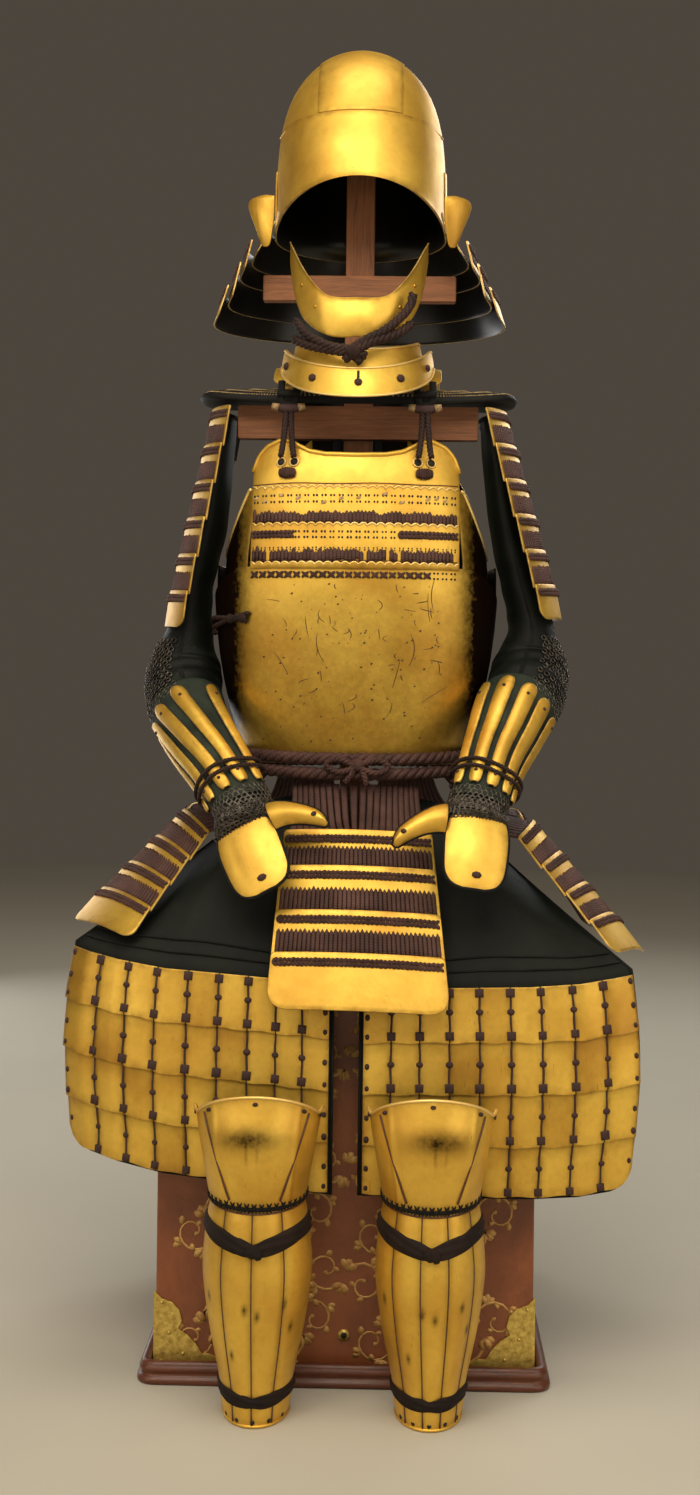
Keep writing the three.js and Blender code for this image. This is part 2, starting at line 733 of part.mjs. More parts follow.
// Five splints on the outside of each forearm, held by one tie cord.
const SPLINTS = { from: 6.55, to: 9.75, tie: 9.2, halfTurn: 10, thick: 2.6 };
const SPLINT_TURNS = {
  // degrees outward from the arm's front, at the elbow and at the wrist
  right: [
    { elbow: -44, wrist: -58 },
    { elbow: 16, wrist: -12 },
    { elbow: 56, wrist: 25 },
    { elbow: 90, wrist: 62 },
    { elbow: 124, wrist: 100 },
  ],
  left: [
    { elbow: -48, wrist: -50 },
    { elbow: -12, wrist: -14 },
    { elbow: 22, wrist: 18 },
    { elbow: 52, wrist: 50 },
    { elbow: 86, wrist: 82 },
  ],
};

// A point on the forearm: along counts stations of the sleeve, turn 0 faces forward and up.
function forearmPoint(side, along, turn, out) {
  const run = SLEEVES[side];
  const i = Math.min(run.length - 2, Math.floor(along));
  const t = along - i;
  const [a, b] = [run[i], run[i + 1]];
  const at = {};
  for (const key of ["x", "y", "z", "rx", "ry"]) at[key] = mix(a[key], b[key], t);
  const direction = V(b.x - a.x, b.y - a.y, b.z - a.z);
  if (i > 0 && t < 0.5) {
    const before = V(a.x - run[i - 1].x, a.y - run[i - 1].y, a.z - run[i - 1].z).normalize();
    direction.normalize().lerp(before, 0.5 - t);
  }
  const forward = direction.normalize();
  const across = V(1, 0, 0).addScaledVector(forward, -forward.x).normalize();
  const up = forward.clone().cross(across);
  const angle = radians(turn);
  return V(at.x, at.y, at.z)
    .addScaledVector(across, (at.rx + out) * Math.sin(angle))
    .addScaledVector(up, (at.ry + out) * Math.cos(angle));
}

function splints() {
  const clear = 3.2; // stands off the cloth, which is faceted and bends along the arm
  for (const { side, s } of SIDES) {
    const place = (along, turn, out) => forearmPoint(side, along, turn, clear + out);
    const strips = SPLINT_TURNS[side].map(({ elbow, wrist }) => {
      const lead = 0.2 * Math.sin(radians(Math.abs(elbow)));
      const face = (out) =>
        steps(3).map((t) => {
          const rounding = t === 0 || t === 1 ? 0.55 : 1;
          const along = mix(SPLINTS.from + lead, SPLINTS.to, t);
          const turn = s * mix(elbow, wrist, t);
          return [-1, 0, 1].map((w) =>
            place(along, turn + w * SPLINTS.halfTurn * rounding, out + (w ? 0 : 1.2)),
          );
        });
      return skin(face(SPLINTS.thick), face(0));
    });
    const tie = (out) =>
      [SPLINTS.tie, SPLINTS.tie + 0.16].map((along) =>
        steps(10).map((t) => place(along, s * mix(-68, 112, t), out)),
      );
    add(`splints_${side}`, join(...strips, skin(tie(4.6), tie(0.8))), GOLD);
  }
}

// The plate on the back of each hand, and the smaller one on the thumb.
const HANDS = {
  right: { x: -115, y: -252, z: 663, lean: 24, roll: -29, turn: -6 },
  left: { x: 156, y: -258, z: 674, lean: 24, roll: 8, turn: 6 },
};
const HAND = { halfWidth: 40, height: 96, bulge: 13, thick: 2.4 };
const HAND_OUTLINE = [
  // share down the plate, half breadth
  { v: 0, w: 0.74 },
  { v: 0.06, w: 0.92 },
  { v: 0.3, w: 1 },
  { v: 0.72, w: 0.94 },
  { v: 0.9, w: 0.78 },
  { v: 1, w: 0.44 },
];
const THUMB = { length: 66, halfWidth: 14, inward: 54, up: 44, droop: 24 };

function handPlates() {
  for (const { side, s } of SIDES) {
    const at = HANDS[side];
    const pose = new THREE.Matrix4()
      .makeTranslation(at.x, at.y, at.z)
      .multiply(new THREE.Matrix4().makeRotationZ(radians(at.turn)))
      .multiply(new THREE.Matrix4().makeRotationY(radians(at.roll)))
      .multiply(new THREE.Matrix4().makeRotationX(radians(-at.lean)));
    const face = (out) =>
      HAND_OUTLINE.map(({ v, w }) =>
        steps(6).map((t) => {
          const u = mix(-1, 1, t);
          const bow = HAND.bulge * (1 - u * u * w * w) + 6 * Math.sin(Math.PI * v);
          return V(HAND.halfWidth * w * u, -bow - out, HAND.height * (0.5 - v)).applyMatrix4(pose);
        }),
      );
    add(`hand_plate_${side}`, skin(face(HAND.thick), face(0)), GOLD);

    const thumb = (out) =>
      steps(3).map((t) =>
        steps(3).map((q) => {
          const u = mix(-1, 1, q);
          const slim = mix(1, 0.62, t * t);
          const reach = mix(THUMB.inward - 4, THUMB.inward + THUMB.length - 10, t);
          const rise = THUMB.up - THUMB.droop * t * t;
          const bow = 10 * (1 - u * u);
          return V(-s * reach, -bow - out - 4, rise + u * THUMB.halfWidth * slim).applyMatrix4(pose);
        }),
      );
    add(`thumb_plate_${side}`, skin(thumb(HAND.thick), thumb(0)), GOLD);
  }
}

// ---------------------------------------------------------------- thigh guards
// One cloth apron, split below the waist into two leaves that fall over the thighs.
const THIGH = { inner: 16, fall: 268 };
const KNEE_LINE = {
  // x, y and z of each leaf's knee edge from the inner to the outer end
  right: [
    { t: 0, x: -16, y: -246, z: 516 },
    { t: 0.62, x: -226, y: -246, z: 532 },
    { t: 0.8, x: -284, y: -232, z: 540 },
    { t: 0.92, x: -324, y: -210, z: 546 },
    { t: 1, x: -349, y: -186, z: 550 },
  ],
  left: [
    { t: 0, x: 16, y: -246, z: 510 },
    { t: 0.62, x: 226, y: -248, z: 516 },
    { t: 0.8, x: 288, y: -242, z: 520 },
    { t: 0.92, x: 330, y: -232, z: 526 },
    { t: 1, x: 356, y: -222, z: 530 },
  ],
};

function kneePoint(side, t) {
  const line = KNEE_LINE[side];
  return V(...["x", "y", "z"].map((key) => read(line, "t", key, t)));
}

// A point of a leaf: t runs from its inner to its outer edge, v from the waist (0) over the knee (1)
// to the hem (2). out lifts it off the cloth.
function thighPoint(side, s, t, v, out = 0) {
  const knee = kneePoint(side, t);
  if (v <= 1) {
    const waist = torsoPoint(s * radians(mix(6, 80, t)), 776, -6);
    waist.z = mix(742, 716, t);
    const lap = waist.lerp(knee, v);
    const thigh = Math.exp(-Math.pow((t - 0.55) / 0.3, 2));
    lap.z += (34 * thigh - 8) * Math.sin(Math.PI * v);
    lap.y += -10 * thigh * Math.sin(Math.PI * v);
    return lap.add(V(0, -0.55 * out, 0.83 * out));
  }
  const drop = v - 1;
  const hem = side === "right" ? mix(268, 256, t) : mix(262, 272, t);
  const flare = 10 * s * t * t * Math.sin(Math.PI * Math.min(1, drop * 1.1));
  const along = kneePoint(side, Math.min(1, t + 0.06)).sub(kneePoint(side, Math.max(0, t - 0.06)));
  const away = V(s * along.y, -s * along.x, 0).normalize(); // level, off the cloth's face
  return V(knee.x + flare, knee.y - 6 * Math.sin(Math.PI * drop), knee.z - hem * drop) //
    .addScaledVector(away, out);
}

function thighGuards() {
  const down = [0, 0.2, 0.4, 0.6, 0.8, 0.93, 1, 1.2, 1.5, 1.8, 2];
  for (const { side, s } of SIDES) {
    const across = [0, 0.12, 0.25, 0.4, 0.55, 0.7, 0.8, 0.92, 1];
    const face = (out) => grid(down, across, (t, v) => thighPoint(side, s, t, v, out));
    add(`thigh_cloth_${side}`, skin(face(0), face(-2)), CLOTH);

    // four rows of leather plates sewn on the hanging part, each row over the one below
    const inset = (u) => mix(0.015, 0.985, (u + 1) / 2);
    const place = (u, v, out) => thighPoint(side, s, inset(u), 1 + mix(0.02, 0.985, v), out + 3);
    const shape = { top: 0, foot: 3.5, thick: 2, columns: 10, corner: 0.02 };
    add(`thigh_plates_${side}`, lamedPanel(place, 4, shape), GOLD);
  }
}

// ---------------------------------------------------------------- tassets
// Seven tassets hang from the cuirass's hem by lacing. waist is the angle of the tasset's middle there
// and spread its half width in degrees; the corners a and b are the ends of its first and last edges.
const TASSETS = [
  {
    name: "front",
    waist: 2,
    spread: 33,
    bow: 9,
    top: { a: [-83, -196, 695], b: [104, -196, 692] },
    foot: { a: [-99, -286, 484], b: [128, -288, 479] },
  },
  {
    name: "side_right",
    waist: -72,
    spread: 19,
    bow: 10,
    top: { a: [-224, -56, 708], b: [-180, -150, 686] },
    foot: { a: [-363, -128, 568], b: [-272, -240, 560] },
  },
  {
    name: "side_left",
    waist: 72,
    spread: 19,
    bow: 10,
    top: { a: [212, -152, 684], b: [238, -58, 700] },
    foot: { a: [336, -204, 545], b: [387, -92, 530] },
  },
  {
    name: "flank_right",
    waist: -113,
    spread: 17,
    bow: 8,
    top: { a: [-203, 84, 704], b: [-222, -20, 706] },
    foot: { a: [-330, 92, 548], b: [-352, -50, 566] },
  },
  {
    name: "flank_left",
    waist: 113,
    spread: 17,
    bow: 8,
    top: { a: [224, -14, 702], b: [203, 84, 704] },
    foot: { a: [362, -36, 534], b: [330, 92, 540] },
  },
  {
    name: "back_right",
    waist: -153,
    spread: 19,
    bow: 6,
    top: { a: [-22, 174, 702], b: [-146, 156, 704] },
    foot: { a: [-22, 290, 506], b: [-178, 276, 508] },
  },
  {
    name: "back_left",
    waist: 153,
    spread: 19,
    bow: 6,
    top: { a: [146, 156, 704], b: [22, 174, 702] },
    foot: { a: [178, 276, 508], b: [22, 290, 506] },
  },
];
const TASSET = { lames: 4, lacing: 0.3, hang: 765 };

// A point of a tasset: v below 0 is the lacing from the hem (-lacing) down to the first lame (0).
function tassetPoint(tasset, u, v, out) {
  const { top, foot } = tasset;
  const t = Math.max(0, v);
  const edge = (end) => V(...top[end]).lerp(V(...foot[end]), t);
  const [a, b] = [edge("a"), edge("b")];
  const down = V(...foot.a).add(V(...foot.b)).sub(V(...top.a)).sub(V(...top.b));
  const normal = b.clone().sub(a).cross(down).normalize().negate();
  const point = a.lerp(b, (u + 1) / 2).addScaledVector(normal, tasset.bow * (1 - u * u) + out);
  if (v >= 0) return point;
  const hem = torsoPoint(radians(tasset.waist + tasset.spread * u), 776, 2 + out);
  const rise = -v / TASSET.lacing;
  const z = mix(point.z, TASSET.hang, Math.pow(rise, 2.2)); // it falls before it spreads
  point.lerp(hem, rise);
  return V(point.x, point.y, z);
}

function tassets() {
  for (const tasset of TASSETS) {
    const place = (u, v, out) => tassetPoint(tasset, u, v, out);
    const lead = [-1, -0.75, -0.45, -0.05].map((v) => v * TASSET.lacing);
    const columns = tasset.name === "front" ? 8 : 4;
    const shape = { top: 3.4, foot: 0, thick: 2.4, columns, lead, corner: 0.03 };
    add(`tasset_${tasset.name}`, lamedPanel(place, TASSET.lames, shape), GOLD);
  }
}

// ---------------------------------------------------------------- shin guards
const SHIN = [
  // height, half width, front edge of the section, how far back its ends reach
  { z: 0, w: 38, front: -354, back: -292 },
  { z: 45, w: 42, front: -358, back: -292 },
  { z: 110, w: 55, front: -368, back: -294 },
  { z: 172, w: 63, front: -374, back: -296 },
  { z: 215, w: 61, front: -372, back: -300 },
  { z: 262, w: 55, front: -366, back: -306 },
];
const KNEE = [
  { z: 263, w: 56, front: -367, back: -310 },
  { z: 300, w: 62, front: -374, back: -314 },
  { z: 345, w: 70, front: -376, back: -312 },
  { z: 378, w: 75, front: -370, back: -302 },
];
const SHIN_X = { right: -103, left: 106 };

// A point on a shin table's half tube: u from -1 to 1 round the leg, 0 on the shin.
function shinPoint(table, x, u, z, out) {
  const turn = radians(92 * u);
  const front = read(table, "z", "front", z);
  const back = read(table, "z", "back", z);
  const w = read(table, "z", "w", z) + out;
  return V(x + w * Math.sin(turn), back - (back - front + out) * Math.cos(turn), z);
}

function shinGuards() {
  const columns = steps(10).map((t) => mix(-1, 1, t));
  for (const { side } of SIDES) {
    const x = SHIN_X[side];
    const shin = (out) =>
      grid([0, 45, 110, 172, 262], columns, (u, z) => shinPoint(SHIN, x, u, z, out));
    add(`shin_guard_${side}`, skin(shin(PLATE), shin(0)), GOLD);

    // the knee plate's top edge rises over the knee and falls to its wings
    const top = (u) => 378 + 22 * Math.pow(Math.cos((Math.PI / 2) * Math.min(1, Math.abs(u) * 1.15)), 1);
    const knee = (out) =>
      steps(3).map((t) =>
        columns.map((u) => {
          const z = mix(264, top(u), t);
          return shinPoint(KNEE, x, u, z, out);
        }),
      );
    add(`knee_plate_${side}`, skin(knee(PLATE), knee(0)), GOLD);

    // two cloth ties wrap each guard, the upper one drawn down to its knot
    for (const [name, middle, dip, half] of [
      ["upper", 249, 22, 7],
      ["lower", 36, 4, 7],
    ]) {
      const band = (out) =>
        [-1, 1].map((w) =>
          columns.map((u) => {
            const z = middle + w * half - dip * Math.pow(1 - Math.min(1, Math.abs(u) * 1.1), 1.3);
            return shinPoint(SHIN, x, u, z, PLATE + 1 + out);
          }),
        );
      add(`shin_tie_${name}_${side}`, skin(band(2.6), band(0)), CLOTH);
    }
  }
}

chestAndTray();
cornerMounts();
stand();
helmetBowl();
turnBacks();
neckGuard();
mask();
throatGuard();
cuirass();
yoke();
waistCord();
shoulderGuards();
sleeves();
splints();
handPlates();
thighGuards();
tassets();
shinGuards();

// The set is moved so that its bounding box stands on the floor with its centre over the origin.
const bounds = new THREE.Box3().setFromObject(armour, true);
const middle = bounds.getCenter(V(0, 0, 0));
for (const mesh of armour.children) mesh.geometry.translate(-middle.x, -middle.y, -bounds.min.z);

export default armour;
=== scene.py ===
# %% [markdown]
# # Samurai armour seated on its chest
# A tosei gusoku is a modern suit of lamellar armour from Japan's Edo period. This one has its plates
# covered in gold leaf over lacquer, laced with purple-brown silk, and it sits on the leather-covered
# chest that it is stored in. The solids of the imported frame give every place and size, and the cells
# below dress them. All lengths are in millimetres about the stand's post until the last moment, when one
# function turns them into the frame's metres.

# %% Load the fixed frame
import math

import bpy
import numpy as np
from mathutils import Matrix, Vector
from numpy import (
    arange, array, asarray, broadcast_to, clip, concatenate, cos, cross, exp, full, interp, linspace,
    maximum, meshgrid, minimum, pi, sin, sqrt, stack, zeros,
)


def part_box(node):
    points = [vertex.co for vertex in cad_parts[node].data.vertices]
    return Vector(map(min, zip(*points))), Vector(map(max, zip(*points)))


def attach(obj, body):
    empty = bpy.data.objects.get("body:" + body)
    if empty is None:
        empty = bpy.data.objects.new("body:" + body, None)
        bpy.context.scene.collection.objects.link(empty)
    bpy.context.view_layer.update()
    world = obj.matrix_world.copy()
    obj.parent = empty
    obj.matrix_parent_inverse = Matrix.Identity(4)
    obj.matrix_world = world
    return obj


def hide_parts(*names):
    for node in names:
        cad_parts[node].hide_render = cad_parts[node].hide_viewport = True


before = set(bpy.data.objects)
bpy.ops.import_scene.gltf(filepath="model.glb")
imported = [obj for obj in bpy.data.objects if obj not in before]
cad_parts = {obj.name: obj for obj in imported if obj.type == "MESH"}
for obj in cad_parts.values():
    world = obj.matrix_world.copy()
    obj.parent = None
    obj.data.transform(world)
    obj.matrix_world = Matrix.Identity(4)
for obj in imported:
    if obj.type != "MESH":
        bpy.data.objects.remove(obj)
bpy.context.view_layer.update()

MM = 0.001
post_low, post_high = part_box("stand_post")
AXIS = array([(post_low.x + post_high.x) / 2, (post_low.y + post_high.y) / 2, 0.0])
SIDES = (("right", -1), ("left", 1))  # the wearer's right is -X
rng = np.random.default_rng(16)
mix = lambda a, b, t: a + (b - a) * t
clamp = lambda t: clip(t, 0.0, 1.0)
rad = np.radians


def linked(name, data):
    """A new object in the scene."""
    made = bpy.data.objects.new(name, data)
    bpy.context.scene.collection.objects.link(made)
    return made


# %% [markdown]
# ## Camera and lights
# Armour is shown from the front at about the height of its belly, so that the helmet is seen from
# below and the lap from above. A long lens keeps the forearms from looming. Gold leaf is a mirror for
# whatever is round it: wide soft lights give it broad pale highlights, and a dark world gives it the
# deep ochre between them.

# %% Camera and lights
CAMERA = {"place": (58, -2530, 895), "turn": 1.31, "roll": 0.7, "lens": 44.31, "shift": (-0.0037, -0.0492)}
camera_data = bpy.data.cameras.new("camera")
camera_data.sensor_width, camera_data.lens = 36, CAMERA["lens"]
camera_data.shift_x, camera_data.shift_y = CAMERA["shift"]
camera = linked("camera", camera_data)
camera.matrix_world = (
    Matrix.Translation(Vector(AXIS) + Vector(CAMERA["place"]) * MM)
    @ Matrix.Rotation(rad(CAMERA["turn"]), 4, "Z")
    @ Matrix.Rotation(rad(90), 4, "X")
    @ Matrix.Rotation(rad(CAMERA["roll"]), 4, "Z")
)
bpy.context.scene.camera = camera


def linear(code):
    """An sRGB hex colour as the linear RGBA that shaders want."""
    parts = [int(code[i : i + 2], 16) / 255 for i in (1, 3, 5)]
    return [p / 12.92 if p <= 0.04045 else ((p + 0.055) / 1.055) ** 2.4 for p in parts] + [1.0]


LIGHTS = {
    # name: place, size in metres, watts, colour; each one looks at the breast
    "key": ((-0.3, -2.5, 3.3), (3.0, 1.5), 84, "#FFF3DF"),
    "top": ((0.1, -0.6, 4.4), (2.4, 1.6), 46, "#FFF3E2"),
    "right": ((2.4, -2.1, 1.8), (2.2, 3.0), 40, "#FFF3E2"),
    "left": ((-2.4, -2.1, 1.9), (2.4, 3.0), 34, "#FFF3E2"),
    "front": ((-0.3, -3.6, 0.9), (2.6, 1.2), 9, "#FFF3E0"),
    "back": ((1.4, 2.4, 2.3), (2.0, 1.6), 30, "#FFFFFF"),
    "back_low": ((-1.9, 2.2, 1.0), (1.6, 1.8), 20, "#FFFFFF"),
}
for name, (place, size, watts, tint) in LIGHTS.items():
    light = bpy.data.lights.new(name, "AREA")
    light.shape, light.size, light.size_y = "RECTANGLE", size[0], size[1]
    light.energy, light.color = watts, linear(tint)[:3]
    lamp = linked(name, light)
    lamp.location = place
    lamp.rotation_euler = (Vector((0, 0, 0.9)) - Vector(place)).to_track_quat("-Z", "Y").to_euler()

world = bpy.data.worlds.new("studio")
world.use_nodes = True
sky = world.node_tree.nodes["Background"].inputs
sky["Color"].default_value, sky["Strength"].default_value = linear("#6A6156"), 0.5
bpy.context.scene.world = world
bpy.context.scene.view_settings.view_transform = "Standard"
print(len(LIGHTS), "lights")

# %% [markdown]
# ## Finishes
# Every finish starts from what the real one is. Gold-leaf lacquer is leaf laid on wet lacquer and
# rubbed: it reflects like metal but softly, clouds over where it was handled, scratches to a brown
# line and wears through at the plates' edges. The silk lacing is a flat braid with a chevron every few
# millimetres. Each pattern's scale is a real size in metres, and it reads Object coordinates, or the
# UV map where it has to follow a braid.


# %% One helper adds a node
def add_node(tree, kind, inputs=None, **settings):
    """A node with its settings; an input is given a value, or a socket to be linked to."""
    made = tree.nodes.new(kind)
    for key, value in settings.items():
        setattr(made, key, value)
    for key, value in (inputs or {}).items():
        if isinstance(value, bpy.types.NodeSocket):
            tree.links.new(value, made.inputs[key])
        else:
            made.inputs[key].default_value = value
    return made


def finish_of(name, **shader_values):
    """A new material, and its tree, shader and coordinates, with the shader's own sockets set."""
    material = bpy.data.materials.new(name)
    material.use_nodes = True
    tree = material.node_tree
    shader = tree.nodes["Principled BSDF"]
    for key, value in shader_values.items():
        shader.inputs[key.replace("_", " ")].default_value = value
    coords = add_node(tree, "ShaderNodeTexCoord").outputs
    return material, tree, shader, coords["Object"], coords["UV"]


def remap(tree, value, *levels):
    """A value moved from one range to another; levels are from low, from high, to low, to high."""
    names = ("From Min", "From Max", "To Min", "To Max")
    return add_node(tree, "ShaderNodeMapRange", {"Value": value, **dict(zip(names, levels))}).outputs[0]


def masks(tree, vector, size, low, high, kind="ShaderNodeTexNoise", **inputs):
    """A pattern of the given real size in metres, cut to a mask between two levels."""
    made = add_node(tree, kind, {"Vector": vector, "Scale": 1 / size, **inputs})
    return remap(tree, made.outputs[0], low, high)


def times(tree, first, second, operation="MULTIPLY"):
    return add_node(tree, "ShaderNodeMath", {0: first, 1: second}, operation=operation).outputs[0]


def blend(tree, factor, first, second, share=1.0):
    """Two colours, hex codes or sockets, mixed by a share of a factor."""
    pick = lambda c: linear(c) if isinstance(c, str) else c
    factor = factor if share == 1.0 else times(tree, factor, share)
    values = {0: factor, 6: pick(first), 7: pick(second)}
    return add_node(tree, "ShaderNodeMix", values, data_type="RGBA").outputs[2]


def close(tree, shader, colour, height, strength, distance):
    """Gives a shader its colour, and a bump whose full height is a distance in metres."""
    tree.links.new(colour, shader.inputs["Base Color"])
    values = {"Strength": strength, "Distance": distance, "Height": height}
    tree.links.new(add_node(tree, "ShaderNodeBump", values).outputs[0], shader.inputs["Normal"])


# %% Gold-leaf lacquer: rubbed leaf over black-brown lacquer, satin, clouded, scratched and chipped
def gold_leaf(name, leaf, shade, wear=1.0):
    material, tree, shader, where, _ = finish_of(name, Metallic=0.76, Coat_Roughness=0.32)
    rim, soot = (
        add_node(tree, "ShaderNodeAttribute", attribute_name=key).outputs["Fac"] for key in ("rim", "soot")
    )
    clouds = masks(tree, where, 0.08, 0.36, 0.66, Detail=4.0, Roughness=0.5, Distortion=0.3)
    mottle = masks(tree, where, 0.0075, 0.45, 0.85, Detail=3.0, Roughness=0.7)
    colour = blend(tree, clouds, leaf, shade, 0.75)
    colour = blend(tree, mottle, colour, "#A97B22", 0.22 * wear)
    # scratches: noise drawn out twenty to one, slanting a little
    slant = {"Vector": where, "Rotation": (0.1, 0.5, 0.25), "Scale": (1, 1, 0.05)}
    drawn = add_node(tree, "ShaderNodeMapping", slant).outputs[0]
    scratches = masks(tree, drawn, 0.0016, 0.69, 0.74, Detail=2.0)
    patches = masks(tree, where, 0.04, 0.5, 0.62, Detail=2.0)
    scratches = times(tree, times(tree, scratches, patches), wear)
    colour = blend(tree, scratches, colour, "#6A4A18", 0.55)
    # chips down to the dark lacquer, and leaf rubbed thin along the edges
    chips = masks(tree, where, 0.0042, 0.735, 0.76, Detail=4.0, Roughness=0.75)
    chips = times(tree, times(tree, chips, patches), wear)
    colour = blend(tree, chips, colour, "#2C1C10")
    thin = times(tree, rim, masks(tree, where, 0.012, 0.3, 0.7, Detail=4.0))
    colour = blend(tree, thin, colour, "#8A5F1C", 0.6)
    # dark brown over the soot attribute, broken into blotches: real stains and scuffs on the knee and shin
    # plates, painted shade on the cuirass's front and round the thigh plates, and the shins' darker bands
    dirt_and_shade_blotches = masks(tree, where, 0.009, 0.36, 0.64, Detail=4.0, Roughness=0.7)
    sooty = times(tree, soot, remap(tree, dirt_and_shade_blotches, 0.0, 1.0, 0.7))
    colour = blend(tree, sooty, colour, "#1E1008")
    for socket, clean in (("Coat Weight", 0.2), ("Specular IOR Level", 0.5)):
        tree.links.new(remap(tree, sooty, 0.0, 1.0, clean, 0.1 * clean), shader.inputs[socket])
    rough = remap(tree, masks(tree, where, 0.02, 0.2, 0.85, Detail=6.0), 0.0, 1.0, 0.4, 0.54)
    tree.links.new(times(tree, rough, times(tree, chips, 0.3), "ADD"), shader.inputs["Roughness"])
    waves = masks(tree, where, 0.016, 0.0, 1.0, Detail=3.0, Roughness=0.5)
    height = times(tree, waves, times(tree, scratches, -0.25), "ADD")
    height = times(tree, height, times(tree, chips, -0.3), "ADD")
    close(tree, shader, colour, height, 0.5, 0.0008)
    return material


GOLD = gold_leaf("gold_leaf_lacquer", "#EFC450", "#CC9832")
GOLD_OLD = gold_leaf("gold_leaf_lacquer_worn", "#E0B344", "#B07E26", 1.6)
# a paler copy of the gold for rims and rolled edges: a painted highlight where edges catch the light
GOLD_HIGHLIGHT = gold_leaf("gold_leaf_painted_highlight", "#F7D88A", "#E0B452", 0.4)


# %% Black lacquer, blackened iron and brass
def plain_finish(name, base, other, size, rough, metallic=0.0, bump=0.1, grain=0.004):
    """A hard finish: two near colours clouded together, with a fine bump of one real size."""
    material, tree, shader, where, _ = finish_of(name, Metallic=metallic, Roughness=rough)
    clouds = masks(tree, where, size, 0.35, 0.7, Detail=4.0, Roughness=0.6)
    fine = masks(tree, where, grain, 0.0, 1.0, Detail=4.0)
    close(tree, shader, blend(tree, clouds, base, other), fine, bump, 0.0006)
    return material


BLACK = plain_finish("black_lacquer", "#080605", "#110D0A", 0.05, 0.3, bump=0.15)
IRON = plain_finish("blackened_iron_mail", "#6A635A", "#24211E", 0.008, 0.34, 0.8)
GILT = plain_finish("gilt_copper", "#D9A441", "#9C6C22", 0.012, 0.3, 1.0)
BRASS = plain_finish("engraved_brass", "#E3C66A", "#A8893C", 0.007, 0.42, 0.7, 1.0, 0.005)
KNOT = plain_finish("dark_silk_knot", "#2E1B1A", "#432822", 0.004, 0.8, bump=0.8, grain=0.0012)
# brown for seams, scratches and spots, and for the painted shade line over each row of the breast's scales
SEAM_AND_SHADE = plain_finish("brown_seam_and_painted_shade", "#5A3214", "#3A1E0C", 0.004, 0.5)
HOLE = plain_finish("lacquered_hole", "#0D0806", "#1A0F0A", 0.003, 0.6)
PIPING = plain_finish("hemp_piping", "#C9AE7C", "#8F7446", 0.004, 0.85, bump=0.7, grain=0.001)
HORN = plain_finish("toggle_horn", "#A88A5E", "#6B5234", 0.004, 0.35)
PAINT = plain_finish("gold_paint_on_leather", "#C99C58", "#A8783F", 0.014, 0.5, 0.2, 0.4)


# %% Silk: the flat braid of the lacing, chevrons from the UV map
CHEVRON = 0.0034


def braid_silk(name, base, light):
    material, tree, shader, where, flat_place = finish_of(
        name, Roughness=0.66, Sheen_Weight=0.05, Specular_IOR_Level=0.3, Sheen_Tint=linear("#A88478")
    )
    parts = add_node(tree, "ShaderNodeSeparateXYZ", {0: flat_place}).outputs
    slope = times(tree, times(tree, parts["X"], 0.0, "ABSOLUTE"), 2.2)
    along = times(tree, parts["Y"], 2 * pi / CHEVRON)
    wave = times(tree, times(tree, along, slope, "ADD"), 0.0, "SINE")
    fibres = masks(tree, where, 0.0009, 0.3, 0.8, Detail=2.0)
    faded = masks(tree, where, 0.035, 0.35, 0.7, Detail=4.0)
    colour = blend(tree, faded, base, light)
    ridge = remap(tree, wave, -1.0)
    colour = blend(tree, ridge, colour, light, 0.5)
    colour = blend(tree, fibres, colour, "#1C100E", 0.35)
    close(tree, shader, colour, times(tree, ridge, times(tree, fibres, 0.4), "ADD"), 0.55, 0.0006)
    return material


LACE = braid_silk("silk_lacing_purple_brown", "#3A231E", "#5F423A")
ROPE = braid_silk("silk_rope_dark", "#2C1815", "#5A3C35")
MASK_CORD = braid_silk("silk_mask_cord", "#170C09", "#38221B")


# %% Cloth: plain weave read from the UV map, drawn at the coarsest thread that still looks woven
def woven(name, base, light, thread, sheen, rough=0.62, tint="#8FA08A"):
    material, tree, shader, where, flat_place = finish_of(
        name, Roughness=rough, Sheen_Weight=sheen, Sheen_Roughness=0.35, Specular_IOR_Level=0.22,
        Sheen_Tint=linear(tint),
    )
    parts = add_node(tree, "ShaderNodeSeparateXYZ", {0: flat_place}).outputs
    warp, weft = (times(tree, times(tree, parts[k], 2 * pi / thread), 0.0, "SINE") for k in (0, 1))
    uneven_tone = masks(tree, where, 0.045, 0.35, 0.75, Detail=5.0, Roughness=0.65)
    folds = masks(tree, where, 0.02, 0.0, 1.0, Detail=3.0)
    height = times(tree, times(tree, times(tree, warp, weft), 0.25), times(tree, folds, 1.4), "ADD")
    close(tree, shader, blend(tree, uneven_tone, base, light), height, 0.5, 0.0012)
    return material


CLOTH = woven("dark_green_silk_twill", "#090C08", "#12170F", 0.0022, 0.06)
SLEEVE_CLOTH = woven("dark_sleeve_damask", "#070907", "#131811", 0.0022, 0.08, 0.5)
GREEN_CLOTH = woven("grey_green_hemp", "#1B221B", "#343D31", 0.0024, 0.08, 0.75)
HEM = woven("doeskin_binding", "#0A0908", "#151310", 0.003, 0.05, 0.6)
TIE_CLOTH = woven("dark_brown_tie_cloth", "#17100D", "#2B1D17", 0.0026, 0.06, 0.75, "#8A6F60")


# %% Leather and wood
def hide(name, base, dark, scuff, size):
    """Smooth-tanned leather: broad clouds, pores of about 0.7 mm and pale scuffs."""
    material, tree, shader, where, _ = finish_of(name, Roughness=0.48, Coat_Weight=0.15, Coat_Roughness=0.35)
    clouds = masks(tree, where, size, 0.3, 0.7, Detail=6.0, Roughness=0.65, Distortion=0.8)
    scuffs = masks(tree, where, 0.03, 0.6, 0.74, Detail=6.0, Roughness=0.8)
    colour = blend(tree, clouds, base, dark)
    colour = blend(tree, scuffs, colour, scuff, 0.5)
    pores = masks(tree, where, 0.0016, 0.0, 0.6, kind="ShaderNodeTexVoronoi")
    close(tree, shader, colour, times(tree, pores, times(tree, clouds, 1.5), "ADD"), 0.35, 0.0006)
    return material


